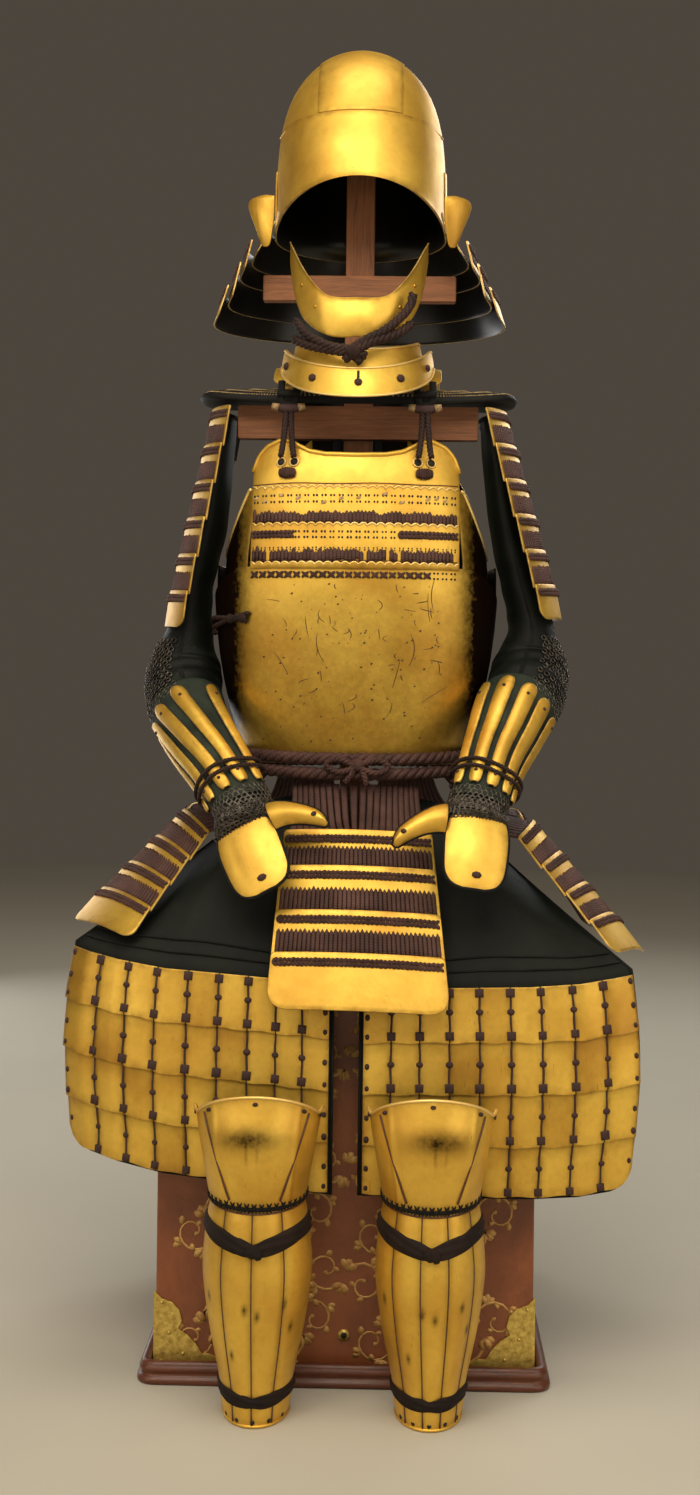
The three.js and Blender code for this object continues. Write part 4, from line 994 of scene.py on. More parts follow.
# %% [markdown]
# ## Laced panels
# Shoulder guards, tassets and the neck guard are rows of lames laced one below another, so that they
# close up like a blind. Each lame shows the same things: a rounded gold top edge, a raised rope of
# silk along it, a strip of gold, and the upright braids that carry the next lame. One function
# makes a panel over any place function.


# %% A lame and its lacing
STITCH = {"pitch": 5.4, "size": (9.2, 5.2, 4.6), "lean": 36}
LAME = 2.4  # a lame's thickness
# the rims take the paler gold, painted as the highlight along each edge
gilded = [GOLD, BLACK, GOLD_HIGHLIGHT]  # outside, inside and rim


def across_length(place, v):
    u = linspace(-1, 1, 17)
    return np.linalg.norm(np.diff(place(u, v, 0), axis=0), axis=-1).sum()


def down_per_mm(place, v=0.5):
    return 0.02 / np.linalg.norm(place(0, v + 0.01, 0) - place(0, v - 0.01, 0))


def rope_row(place, v, out, ends=(-0.97, 0.97)):
    """The raised lacing along a lame: two lines of stitches that lean together, like a rope."""
    count = max(4, int(across_length(place, v) * (ends[1] - ends[0]) / 2 / STITCH["pitch"]))
    u = evenly(ends[0], ends[1], count)
    half = 2.5 * down_per_mm(place, v)
    u = concatenate([u, u])
    line = np.repeat([-1.0, 1.0], count)
    places = on_surface(place, u, v + line * half, out + 0.9, STITCH["size"], line * -STITCH["lean"])
    return stamp(BEAD, places, LACE, 0.1, 7)


def edge_drop(place, u, v, radius):
    """How far, in shares down the panel, a rounded corner of this radius cuts in at u."""
    half = across_length(place, v) / 2
    inside = (1 - abs(u)) * half
    d = clip(radius - inside, 0, radius)
    return (radius - sqrt(radius**2 - d**2)) * down_per_mm(place, v)


def laced_panel(name, place, cuts, nodes, top=3.4, hang=None, columns=14, radius=9, band=9, braid=20):
    """Lames between the cuts, each with its lacing; hang is where the long braids above them start."""
    us = across_all((1, 0.99, 0.97, 0.93, 0.86), 0.78, columns)
    plates, laces = [], []
    for k, (v0, v1) in enumerate(zip(cuts[:-1], cuts[1:])):
        last = k == len(cuts) - 2
        foot = v1 if last else v1 + 5 * down_per_mm(place, v1)
        tip = edge_drop(place, us, v0, 4)
        toe = edge_drop(place, us, v1, radius) if last else 0 * us
        shares = array([0, 0.05, 0.12, 0.35, 0.65, 0.92, 1.0])
        V = v0 + tip[None, :] + shares[:, None] * ((foot - toe) - (v0 + tip))[None, :]
        U = broadcast_to(us, V.shape)
        roll = -0.9 * exp(-shares / 0.035)[:, None]
        lift = top * (1 - shares)[:, None] + roll + 0 * U
        plates.append(
            shell(place(U, V, lift + LAME), place(U, V, lift), gilded)
        )
        per_mm = down_per_mm(place, (v0 + v1) / 2)
        row = v0 + (band + 2) * per_mm
        height = lambda v: top * (1 - (v - v0) / (foot - v0)) + LAME
        laces.append(rope_row(place, row, height(row)))
        if not last:
            start = max(row + 9 * per_mm, v1 - braid * per_mm)
            if start < v1 - 6 * per_mm:
                count = int(across_length(place, start) * 0.96 / 5.4)
                centres = evenly(-0.965, 0.965, count)
                v_start = start + rng.normal(0, 0.5, count) * per_mm
                laces.append(
                    strips(place, centres, v_start, v1 + 1.5 * per_mm, 5.6, 1.5,
                           lambda v: height(v) + 0.1, LACE, point=4)
                )
    if hang is not None:
        count = int(across_length(place, -0.02) * 0.94 / 8.6)
        centres = evenly(-0.93, 0.93, count)
        laces.append(
            strips(place, centres, hang, 0.004, 8.2, 1.6, 0.6, LACE, point=0, rows=9)
        )
    plated = dress(f"{name}_lames", plates, "gold_lacquer", *nodes)
    dress(f"{name}_lacing", laces, "lacing")
    return plated


# %% The body's surface, which the tassets hang from
CUIRASS = array([
    # height, half width, depth in front of the axis, depth behind it
    (776, 137, 116, 104), (800, 144, 124, 109), (860, 162, 137, 118), (930, 175, 144, 125),
    (1000, 181, 145, 129), (1060, 178, 141, 130), (1130, 168, 132, 126), (1180, 158, 121, 118),
    (1240, 142, 104, 104),
], float)
CUIRASS_LINE = curve_through(CUIRASS, 120)
ROUNDNESS = 2.5
LAYER = 3.2


def torso_sizes(z):
    return [interp(z, CUIRASS_LINE[:, 0], CUIRASS_LINE[:, k]) for k in (1, 2, 3)]


def torso(angle, z, out=0.0):
    """A point on the cuirass: angle 0 is the breast and grows towards the wearer's left."""
    width, front, back = torso_sizes(z)
    sine, cosine = sin(angle), cos(angle)
    power = 2 / ROUNDNESS
    x = (width + out) * np.sign(sine) * abs(sine) ** power
    y = -(np.where(cosine > 0, front, back) + out) * np.sign(cosine) * abs(cosine) ** power
    return vec(x, y, z)


def breast(x, z, out=0.0):
    """A point on the cuirass's front by its distance from the middle."""
    width = torso_sizes(z)[0] + out
    share = clip(abs(x) / width, 0, 1)
    return torso(np.sign(x) * np.arcsin(share ** (ROUNDNESS / 2)), z, out)


# %% Tassets: seven panels hung from the cuirass's hem
TASSETS = {
    # name: waist angle, spread, bow, corners a and b of the top edge, then of the foot
    "front": (2, 33, 9, (-83, -196, 695), (104, -196, 692), (-99, -286, 484), (128, -288, 479)),
    "side_right": (-72, 19, 10, (-224, -56, 708), (-180, -150, 686), (-363, -128, 568), (-272, -240, 560)),
    "side_left": (72, 19, 10, (212, -152, 684), (238, -58, 700), (336, -204, 545), (387, -92, 530)),
    "flank_right": (-113, 17, 8, (-203, 84, 704), (-222, -20, 706), (-330, 92, 548), (-352, -50, 566)),
    "flank_left": (113, 17, 8, (224, -14, 702), (203, 84, 704), (362, -36, 534), (330, 92, 540)),
    "back_right": (-153, 19, 6, (-22, 174, 702), (-146, 156, 704), (-22, 290, 506), (-178, 276, 508)),
    "back_left": (153, 19, 6, (146, 156, 704), (22, 174, 702), (178, 276, 508), (22, 290, 506)),
}
HANG = {"share": 0.3, "height": 765}


def tasset_place(waist, spread, bow, *corners):
    top_a, top_b, foot_a, foot_b = (array(c, float) for c in corners)
    down = foot_a + foot_b - top_a - top_b

    def place(u, v, out=0.0):
        u, v, out = floats(u, v, out)
        s = maximum(0, v)[..., None]
        a, b = mix(top_a, foot_a, s), mix(top_b, foot_b, s)
        normal = -unit(cross(b - a, down))
        point = a + (b - a) * ((u + 1) / 2)[..., None] + normal * (bow * (1 - u * u) + out)[..., None]
        hem = torso(rad(waist + spread * u), 776, 2 + out)
        rise = clamp(-v / HANG["share"])
        z = mix(point[..., 2], HANG["height"], rise**2.2)
        point = mix(point, hem, rise[..., None])
        return concatenate([point[..., :2], z[..., None]], -1)

    return place


for name, row in TASSETS.items():
    cuts = (0, 0.205, 0.455, 0.69, 1) if name == "front" else (0, 0.24, 0.48, 0.72, 1)
    wide = name == "front"
    laced_panel(
        f"tasset_{name}", tasset_place(*row), cuts, [f"tasset_{name}"], hang=-0.27,
        columns=14 if wide else 8, radius=26 if wide else 16, band=11 if wide else 9,
        braid=29 if wide else 23,
    )

# %% Shoulder guards
SODE = {"right": (203, 268, 1254, 957), "left": (205, 287, 1254, 973)}
for side, s in SIDES:
    top_x, foot_x, top_z, foot_z = SODE[side]

    def sode(u, v, out=0.0):
        turn = rad(38 * u)
        x = mix(top_x, foot_x, v) - 157 + (150 + out) * cos(turn)
        return vec(s * x, 6 + (150 + out) * sin(turn), mix(top_z, foot_z, v) - 3 * u * u)

    cuts = linspace(0, 1, 7)
    name = f"shoulder_guard_{side}"
    laced_panel(name, sode, cuts, [name], top=4, columns=12, radius=14, band=9, braid=25)

# %% Neck guard: four flared lames
NECK_LAMES = (
    # top, bottom, half width at the top and bottom, depth at the top and bottom
    (1499, 1455, 122, 147, 139, 149), (1474, 1434, 153, 163, 152, 158),
    (1444, 1397, 168, 179, 161, 167), (1413, 1370, 184, 198, 170, 178),
)
NECK_BEND, NECK_CENTRE, NECK_STRAIGHT = 0.76, 2, 84


def neck_place(top, bottom, w0, w1, d0, d1):
    def place(u, v, out=0.0):
        u, v, out = floats(u, v, out)
        w, d, z = mix(w0, w1, v) + out, mix(d0, d1, v) + out, mix(top, bottom, v)
        away, side = abs(u), np.sign(u)
        turn = minimum(away / NECK_BEND, 1) * pi / 2
        forward = maximum(0, away - NECK_BEND) / (1 - NECK_BEND)
        y = NECK_CENTRE + d * cos(turn) - forward * NECK_STRAIGHT
        w = w - 12 * clamp((away - 0.8) / 0.2) ** 1.2
        return vec(side * w * sin(turn), y, z + 8 * cos(turn))

    return place


for k, lame in enumerate(NECK_LAMES):
    place = neck_place(*lame)
    last = k == 3
    us = across_all((1, 0.995, 0.98, 0.95), 0.9, 37)
    shares = array([0, 0.06, 0.15, 0.5, 0.9, 1.0])
    tip = edge_drop(place, us, 0.0, 5)
    toe = edge_drop(place, us, 1.0, 10 if last else 6)
    V = tip[None] + shares[:, None] * (1 - toe - tip)[None]
    U = broadcast_to(us, V.shape)
    plated = shell(place(U, V, 2.2), place(U, V, 0), gilded)
    dress(f"neck_guard_lame_{k + 1}", [plated], "gold_lacquer", f"neck_lame_{k + 1}")
    per_mm = down_per_mm(place)
    laces = [rope_row(place, 9 * per_mm, 2.0, (-0.985, 0.985))]
    if not last:
        count = int(across_length(place, 0.5) / 5.6)
        centres = evenly(-0.98, 0.98, count)
        laces.append(strips(place, centres, 16 * per_mm, 0.72, 5.4, 1.2, 2.1, LACE, rows=3))
    dress(f"neck_guard_lacing_{k + 1}", laces, "lacing")
tell("laced panels")

# %% [markdown]
# ## Cuirass
# The breast is two wide laced lames between a chest plate and a belly plate that is
# lacquered smooth. Lames are made of small scales, so their top edges are a row of scallops, and the
# lacing between them shows as knots, ropes and short ragged braids. A plate function takes
# the distance from the middle and the height, so that every row can be written in millimetres.

# %% Chest plate, lames and belly plate
CHEST_EDGE = 137
SCALLOP = 11.3
NECKLINE = array([
    # half breadth from the centre, height of the chest plate's top edge
    (0, 1182), (40, 1183), (61, 1187), (75, 1194), (88, 1202), (100, 1203), (118, 1195),
    (129, 1183), (137, 1162),
], float)


def breast_plate(low, high, layer, finishes, rows=(0, 0.04, 0.12, 0.5, 0.9, 1), **more):
    x = linspace(-CHEST_EDGE, CHEST_EDGE, 140)
    share = array(rows)[:, None]
    z = mix(high(x)[None], low(x)[None], share)
    X = broadcast_to(x, z.shape)
    return shell(breast(X, z, layer + 2.2), breast(X, z, layer), finishes, **more)


def scallops(height):
    return lambda x: height + 4.5 * abs(cos(pi * x / SCALLOP)) ** 0.55


flat = lambda height: lambda x: height + 0 * x
neckline = lambda x: interp(abs(x), NECKLINE[:, 0], NECKLINE[:, 1])
chest = breast_plate(flat(1137), neckline, 0, gilded, rows=(0, 0.06, 0.2, 0.5, 0.8, 1), bevel=0.7)
rim_x = linspace(-CHEST_EDGE, CHEST_EDGE, 80)
rim_path = breast(rim_x, neckline(rim_x), 2.4)
rolled = sweep(rim_path, (6.4, 5.6), GOLD, up=(0, -1, 0.2))
dress("chest_plate_gold", [chest, rolled], "gold_lacquer", "chest_plate")
fine_x = linspace(-CHEST_EDGE + 1, CHEST_EDGE - 1, 190)


def scale_edge(height, out):
    """The rolled line along a row of scales, in the paler gold of a painted highlight."""
    line = breast(fine_x, scallops(height)(fine_x) - 1, out)
    return sweep(line, (2.8, 2.4, 6), GOLD_HIGHLIGHT, up=(0, -1, 0))


def hem_roll(first, last):
    """The rolled hem between two angles in degrees."""
    turns = rad(linspace(first, last, 60))
    return sweep(torso(turns, 779, 3 * LAYER + 2.4), (5.5, 4.5), GOLD, up=(0, 0, 1))


for k, (low_z, high_z, layer) in enumerate(((1087, 1137, LAYER), (1039, 1087.5, 2 * LAYER))):
    lame = breast_plate(flat(low_z), scallops(high_z), layer, gilded, bevel=0.4)
    edge = scale_edge(high_z, layer + 2.4)
    dress(f"chest_lame_gold_{k + 1}", [lame, edge], "gold_lacquer", f"chest_lame_{k + 1}")


def wrapped(angles, low, high, layer, rows, **more):
    """A plate that wraps the body between two angles in degrees, with painted shade on its front."""
    turns = rad(linspace(angles[0], angles[1], angles[2]))
    share = asarray(rows, float)[:, None]
    z = mix(high(turns)[None], low(turns)[None], share)
    A = broadcast_to(turns, z.shape)
    points = torso(A, z, layer + 2.2)
    # painted shade on the front only: the sides go nearly black where they turn away beside the sleeves, the
    # lower corners darken, and the whole plate is a little darker, more so just under the row of scales and
    # towards the hem
    side = clamp((abs(points[..., 0]) - 112) / 56) ** 1.7
    foot = clamp((abs(points[..., 0]) / 170) ** 2 - (z - 790) / 120)
    painted_shade_below = 0.08 + 0.26 * clamp((1030 - z) / 35) + 0.14 * clamp((1000 - z) / 150)
    front = points[..., 1] < 30
    more.setdefault("soot", maximum(maximum(1.7 * side, 0.9 * foot), painted_shade_below) * front)
    return shell(points, torso(A, z, layer), gilded, **more)


belly_rows = (0, 0.008, 0.02, 0.05, 0.2, 0.35, 0.5, 0.65, 0.8, 0.93, 0.985, 1)
belly_top = lambda angle: 1034 - 40 * clamp((abs(np.degrees(angle)) - 48) / 40) ** 1.1
belly = wrapped((-88.7, 88.7, 121), flat(777), belly_top, 3 * LAYER, belly_rows, bevel=0.8)
scale_top = breast_plate(flat(1031), scallops(1036), 3 * LAYER + 2.4, gilded, rows=(0, 0.3, 1), bevel=0)
shown = [belly, scale_top, scale_edge(1036, 3 * LAYER + 4.6), hem_roll(-88, 88)]
dress("belly_plate_gold", shown, "gold_lacquer", "belly_plate")

# %% Armpit plates, back and shoulder straps
ARMHOLE = {"pit": 1052, "shoulder": 1138, "reach": 34}


def armhole(angle):
    away = abs(abs(angle) - pi / 2) / rad(ARMHOLE["reach"])
    return mix(ARMHOLE["pit"], ARMHOLE["shoulder"], clamp(away) ** 1.7)


plain_rows = (0, 0.05, 0.3, 0.6, 0.95, 1)
for side, s in SIDES:
    wing = wrapped((s * 49, s * 123.5, 32), flat(985), armhole, -LAYER, plain_rows, bevel=0.6)
    turns = rad(linspace(s * 54, s * 123, 40))
    # the wing's rim in the paler gold of a painted highlight
    rim = sweep(torso(turns, armhole(turns), -1.9), 5.5, GOLD_HIGHLIGHT, up=(0, 0, 1))
    dress(f"armpit_wing_{side}", [wing, rim], "gold_lacquer", f"armpit_plate_{side}")
back = wrapped((91.3, 268.7, 61), flat(777), flat(1043), 3 * LAYER, belly_rows, bevel=0.8)
dress("back_lower_gold", [back, hem_roll(92, 268)], "gold_lacquer", "back_lower")


def nape(angle):
    away = clamp(abs(np.mod(angle, 2 * pi) - pi) / rad(64))
    return mix(1226, 1138, away**3) + 14 * sin(clamp(away * 1.3) * pi)


upper_rows = (0, 0.03, 0.2, 0.4, 0.6, 0.8, 0.97, 1)
upper = wrapped((116.2, 243.8, 49), flat(1039), nape, LAYER, upper_rows, bevel=0.8)
STRAP_ARC = (
    (103, 1196), (104, 1236), (98, 1272), (84, 1294), (50, 1307), (-10, 1309), (-60, 1297), (-88, 1276),
)
straps = []
for side, s in SIDES:
    arc = curve_through([(s * 90, y, z + 2) for y, z in STRAP_ARC], 36)

    def strap_section(t):
        end = min(1.0, (1 - t) * 14 + 0.35)
        h = 21.5 * min(1.0, end**0.5)
        return [(-h, -1.4), (-h - 0.5, 0), (-h, 1.4), (0, 2.2), (h, 1.4), (h + 0.5, 0), (h, -1.4), (0, -1.8)]

    straps.append(sweep(arc, strap_section, GOLD, up=(1e-3, -0.2, 1)))
dress("back_upper_gold", [upper, *straps], "gold_lacquer", "back_upper")

# %% The cuirass's lacing, row by row from the top
FRONT = 2.2  # a plate's own thickness
laces, knots, holes_and_shade_lines, pale = [], [], [], []
row_x = arange(-CHEST_EDGE + 6, CHEST_EDGE - 5, SCALLOP)
one = LAYER + FRONT
two = 2 * LAYER + FRONT
three = 3 * LAYER + FRONT + 0.2


def dots(x, z, layer, size, piece=DISC, finish=HOLE, spin=0.0, out=0.15, variation=0.1):
    z = broadcast_to(z, np.shape(x)).astype(float)
    return stamp(piece, on_surface(breast, x, z, layer + out, size, spin), finish, variation, 3)


for dz in (0, -8.5):
    for shift in (-2.1, 2.1):
        holes_and_shade_lines.append(dots(row_x + shift, 1127.5 + dz, one, (2.6, 3.2, 0.7)))
torn = rng.random(len(row_x)) < 0.4
pale.append(dots(row_x[torn], 1124 + rng.normal(0, 3, torn.sum()), one, (8, 4.5, 2.6), BEAD, PIPING, 25))


def ragged(z_top, z_foot, layer):
    """Short upright braids with uneven ends, some of them lost."""
    x = arange(-CHEST_EDGE + 4, CHEST_EDGE - 3, 4.9)
    x = x[rng.random(len(x)) > 0.05]
    z0 = z_top + rng.normal(0, 1.6, len(x))
    z1 = z_foot + rng.normal(0, 1.0, len(x))
    return strips(breast, x, z0, z1, 6.0, 2.0, layer, LACE, point=3, rows=3)


for z, layer in ((1143.5, FRONT), (1092, one), (1041, two)):
    # a brown line of shade and lacquer over each row of scales
    line = breast(fine_x[::4], z + 0.6 * sin(fine_x[::4] / 17), layer)
    holes_and_shade_lines.append(sweep(line, (1.8, 0.8, 6), SEAM_AND_SHADE, up=(0, -1, 0)))
laces.append(ragged(1106, 1090, one))
laces.append(ragged(1056, 1040.5, two))
for z in (1079.5, 1072):
    for shift in (-2.1, 2.1):
        inner = row_x[(abs(row_x + 5) < 90)]
        holes_and_shade_lines.append(dots(inner + shift, z, two, (2.6, 3.2, 0.7)))
for low_x, high_x in ((-134, -78), (60, 134)):
    x = arange(low_x, high_x, 5.2)
    for line in (-1, 1):
        row = dots(x, 1076 + line * 2.3, two, (9, 5, 4.4), BEAD, LACE, line * 36, 1.0)
        laces.append(row)
for spin in (40, -40):
    whole = row_x[row_x < 96]
    knots.append(dots(whole, 1023, three, (14, 4.6, 3.6), BEAD, LACE, spin, 1.0))
for shift in (-2.4, 2.4):
    for dz in (-3.5, 3.5):
        holes_and_shade_lines.append(dots(row_x[row_x >= 96] + shift, 1023 + dz, three, (2.6, 2.6, 0.7)))
        holes_and_shade_lines.append(dots(row_x + shift, 1057 + dz * 0.4, two, (1.8, 2.2, 0.6)))
dress("cuirass_lacing", laces, "lacing")
dress("cuirass_knots", knots + pale, "lacing")
# the lacing holes, and the painted shade lines over the scale rows
finished(gather("cuirass_holes", holes_and_shade_lines), None)


# %% Scratches and spots in the belly's lacquer
marks, dice = [], np.random.default_rng(23)
for _ in range(44):
    x, z = dice.uniform(-108, 112), dice.uniform(815, 1012)
    reach = dice.uniform(3, 11) * dice.choice([1, 1, 2])
    lean = dice.normal(0, 0.3) + dice.choice([0, 0, 0, 1.4])
    t = linspace(-1, 1, 9)
    bend = dice.normal(0, 3) * (1 - t * t)
    line = breast(x + t * reach * sin(lean) + bend, z + t * reach * cos(lean), three)
    width = dice.uniform(0.7, 1.3)
    thin = lambda q: round_section(width * (0.35 + 2.6 * q * (1 - q)), 0.5, 6)(q)
    marks.append(sweep(line, thin, SEAM_AND_SHADE, up=(0, -1, 0)))
spots = dice.uniform((-120, 800), (120, 1015), (110, 2))
marks.append(dots(spots[:, 0], spots[:, 1], three, (2.2, 1.6, 0.5), DISC, SEAM_AND_SHADE, 30, 0.0, variation=0.5))
dress("belly_scratches", marks, "gold_lacquer")


# %% The side tie and its knot
def on_body(rows, out):
    """A smooth line over the body through angle (degrees) and height pairs."""
    line = curve_through([(a, z, 0) for a, z in rows], 40)
    return torso(rad(line[:, 0]), line[:, 1], out)


ties = []
for rows in (
    ((-89, 966), (-72, 968), (-52, 967), (-40, 973)), ((-89, 956), (-70, 958), (-52, 965), (-42, 962)),
    ((-88, 961), (-80, 949), (-72, 951)),
):
    ties.append(twisted(on_body(rows, three + 3.5), 7, MASK_CORD, 2, 15))
knot = on_surface(lambda a, z, out: torso(rad(a), z, out), [-53, -44], [966, 967], three + 5, (15, 12, 9))
ties.append(stamp(BEAD, knot, MASK_CORD, 0.2, 3))
dress("side_tie", ties, "lacing")

# %% Waist cord: two turns of laid silk rope, tied at the front
cords = []
around = rad(linspace(0, 360, 181))
for height, out in ((791, 12.0), (774, 13.5)):
    sag = 6 * maximum(0, cos(around)) ** 3 * (1 if height < 780 else 0.5)
    path = torso(around, 776, 3 * LAYER + 6.6 + out * 0.62)
    path[:, 2] = height - 3.5 - sag
    cords.append(twisted(path, 16.5, ROPE, 3, 34, closed=True, per_turn=9))
front = torso(zeros(1), full(1, 776.0), 33)[0]
loops = (
    [(0, 0, 0), (-26, -5, 9), (-40, -3, 1), (-24, -6, -8), (0, -3, -2)],
    [(0, 0, 0), (26, -5, 8), (41, -3, -1), (24, -6, -9), (0, -3, -2)],
    [(4, 0, 0), (10, -6, -14), (13, -3, -24)],
    [(-4, 0, 0), (-9, -6, -13), (-15, -3, -22)],
)
for loop in loops:
    line = curve_through([array((7, front[1] + 3, 776)) + p for p in loop], 26)
    cords.append(twisted(line, 8.5, ROPE, 3, 18, per_turn=8))
knot = (array([[7, front[1] + 1, 777.0]]), zeros((1, 3)), array([[22.0, 15, 19]]))
cords.append(stamp(BEAD, knot, ROPE, 0))
dress("waist_rope", cords, "lacing", "waist_cord")
tell("cuirass")

# %% [markdown]
# ## Helmet, mask and throat guard
# The bowl is a tall, plain shape in gilded plates: one long plate runs over the crown, and a brow plate
# with a ridge closes the front. The face stays open, with a half mask under it. The bowl's curve is
# three powers of the height, one each for its sides, front and back, and the plates lie on it.

# %% The bowl's surface
HELMET = {"base": 1500, "top": 1746, "width": 116, "front": 146, "back": 132}


def bowl(angle, z, out=0.0):
    rise = clamp((z - HELMET["base"]) / (HELMET["top"] - HELMET["base"]))
    side = (1 - rise**3.8) ** 0.52
    front, back = (1 - rise**2) ** 0.5, (1 - rise**2.6) ** 0.42
    cosine = cos(angle)
    depth = np.where(cosine > 0, HELMET["front"] * front, HELMET["back"] * back)
    return vec((HELMET["width"] * side + out) * sin(angle), -(depth + out) * cosine, z + out * rise**3)


def rim_height(angle):
    return 1490 + 52 * maximum(0, cos(angle)) ** 1.35


around = linspace(0, 2 * pi, 96, endpoint=False)
levels = sin(linspace(0, 1, 22) ** 0.85 * pi / 2)


def bowl_wall(inset):
    A, L = meshgrid(around, levels)
    z = mix(rim_height(A), HELMET["top"] - inset - 0.05, L)
    lip = 2.2 * exp(-(z - rim_height(A)) / 5)
    return bowl(A, minimum(z, HELMET["top"] - 0.05 - inset), lip - inset)


parts = [weld(shell(bowl_wall(0), bowl_wall(2.6), gilded, ring=True, bevel=0))]


def crown(x, v, out=0.0):
    """A strip over the crown at a distance from the middle: v from the brow ridge (0) to the nape (1)."""
    share = clip(abs(x) / HELMET["width"], 0, 0.999)
    peak = HELMET["base"] + 246 * (1 - share ** (1 / 0.52)) ** (1 / 3.8)
    s = 2 * v - 1
    foot = np.where(s < 0, 1634.0, 1560.0)
    z = peak - (peak - foot) * s * s
    rise = clamp((z - HELMET["base"]) / 246)
    width = HELMET["width"] * (1 - rise**3.8) ** 0.52
    angle = np.arcsin(clip(x / maximum(width, 1e-6), -1, 1))
    return bowl(np.where(s < 0, angle, pi - angle), z, out)


crown_x = linspace(-56, 56, 25)
crown_v = linspace(0.0, 1.0, 49)
parts.append(plate(crown, crown_x, crown_v, 0.9, 0.25, bevel=0.5))
# a low band round the sides and the back, where the bowl's plates end on its base plate
band_a = rad(linspace(78, 282, 69))
band = lambda a, t, out: bowl(a, mix(1493.0, 1563 + 16 * cos(2 * (a - pi / 2)), t), out)
parts.append(plate(band, band_a, [0, 0.04, 0.3, 0.6, 0.9, 1], 1.6, 0.4, bevel=0.6))
for side, s in SIDES:
    # the side seams run on from the ridge
    line = rad(linspace(s * 27, s * 80, 24))
    seam = bowl(line, 1634 - 10 * abs(sin(line)), 0.6)
    parts.append(sweep(seam, (2.6, 2.0, 6), GOLD, up=(0, 0, 1)))
dress("helmet_bowl_gold", parts, "gold_lacquer", "helmet_bowl")

# %% Brow plate with its ridge, and the turn-backs
brow_angle = rad(linspace(-74, 74, 51))


def brow(angle, t, out=0.0):
    return bowl(angle, mix(rim_height(angle) - 1.5, 1631, t), out)


def brow_lift(A, T):
    lip = 2.4 * exp(-T / 0.05)
    ridge = 0.7 * exp(-((T - 0.97) / 0.05) ** 2)
    hollow = -0.3 * exp(-((T - 0.86) / 0.07) ** 2)
    ends = clamp((1.29 - abs(A)) / 0.5)
    return (0.9 + ridge + hollow) * ends + lip - 1.6 * (1 - ends)


brow_t = (0, 0.02, 0.05, 0.1, 0.2, 0.35, 0.5, 0.65, 0.78, 0.86, 0.92, 0.96, 0.985, 1)
parts = [plate(brow, brow_angle, brow_t, 2.0, brow_lift, finishes=gilded, bevel=0.7)]
dress("helmet_brow_gold", parts, "gold_lacquer", "helmet_brow")

TURN_BACK = (
    (0, 0), (15, 3), (33, 0), (39, -6), (38, -16), (28, -40), (19, -62), (12, -66), (6, -62), (2, -40),
    (0, -22),
)
for side, s in SIDES:
    outline = curve_through(TURN_BACK + (TURN_BACK[0],), 44)[:-1]
    turn = math.radians(26)
    rings = []
    for inset, depth in ((0.8, 2.6), (0, 2.0), (0, 0.6), (0.8, 0)):
        centre = outline.mean(0)
        ring = outline + unit(centre - outline) * inset
        x, y = ring[:, 0], -depth * np.ones(len(ring))
        px = x * math.cos(turn) - y * math.sin(turn)
        py = x * math.sin(turn) + y * math.cos(turn)
        rings.append(stack([s * (px + 112), py - 98, ring[:, 1] + 1526], -1))
    made = mesh_object(array(rings), ring_faces(array(rings)), [GOLD_OLD])
    dress(f"turn_back_gold_{side}", [made], "gold_lacquer", f"turn_back_{side}")

# %% Half mask
MASK = {"width": 92, "depth": 92, "centre": -56, "spread": 78}
MASK_EDGES = curve_through([
    # angle from the chin, lower edge, upper edge, swell of the chin
    (0, 1331, 1382, 5), (13, 1330, 1382, 6), (26, 1335, 1388, 4), (39, 1347, 1407, 1),
    (52, 1366, 1431, 0), (65, 1400, 1455, 0), (78, 1445, 1471, 0),
], 80)


def mask(degrees, t, out=0.0):
    a = rad(degrees)
    low, high, swell = (interp(abs(degrees), MASK_EDGES[:, 0], MASK_EDGES[:, k]) for k in (1, 2, 3))
    lip = 3.0 * exp(-(1 - t) / 0.07)
    jaw = 2.2 * exp(-(((abs(degrees) - 30) / 7) ** 2)) * sin(pi * t)
    cheek = 2.0 * sin(clip(abs(degrees) - 58, 0, 18) / 18 * 2 * pi) * sin(pi * t)
    reach = out + swell * sin(pi * t) + 4 * (1 - t) * cos(a) + lip + jaw + cheek
    x = (MASK["width"] + out + 0.4 * lip) * sin(a)
    return vec(x, MASK["centre"] - (MASK["depth"] + reach) * cos(a), mix(low, high, t))


mask_t = (0, 0.04, 0.12, 0.25, 0.4, 0.55, 0.7, 0.82, 0.9, 0.95, 0.98, 1)
parts = [plate(mask, linspace(-78, 78, 73), mask_t, 2.4, finishes=gilded, bevel=0.7)]
studs = on_surface(mask, [-36, 36, -52, 52], [0.5, 0.5, 0.6, 0.6], 2.6, (5, 5, 4))
parts.append(stamp(DOME, studs, GILT, 0, 2))
dress("half_mask", parts, "gold_lacquer", "mask")

# the cords that hold the mask cross under the chin
cords = []
for points in (
    [(72, -142, 1388), (66, -150, 1368), (40, -164, 1340), (8, -168, 1322), (-6, -166, 1312)],
    [(70, -142, 1350), (52, -158, 1334), (22, -168, 1322), (-4, -170, 1308), (-14, -166, 1298)],
    [(-80, -136, 1354), (-66, -150, 1334), (-34, -164, 1316), (-10, -168, 1312), (12, -166, 1304)],
    [(-82, -134, 1330), (-64, -150, 1320), (-36, -162, 1312), (-8, -168, 1306), (6, -165, 1296)],
):
    cords.append(twisted(curve_through(points, 30), 12.5, MASK_CORD, 3, 24, per_turn=8))
knot = (array([[-4, -171, 1309.0]]), zeros((1, 3)), array([[24.0, 17, 20]]))
cords.append(stamp(BEAD, knot, MASK_CORD, 0))
dress("mask_cords", cords, "lacing")

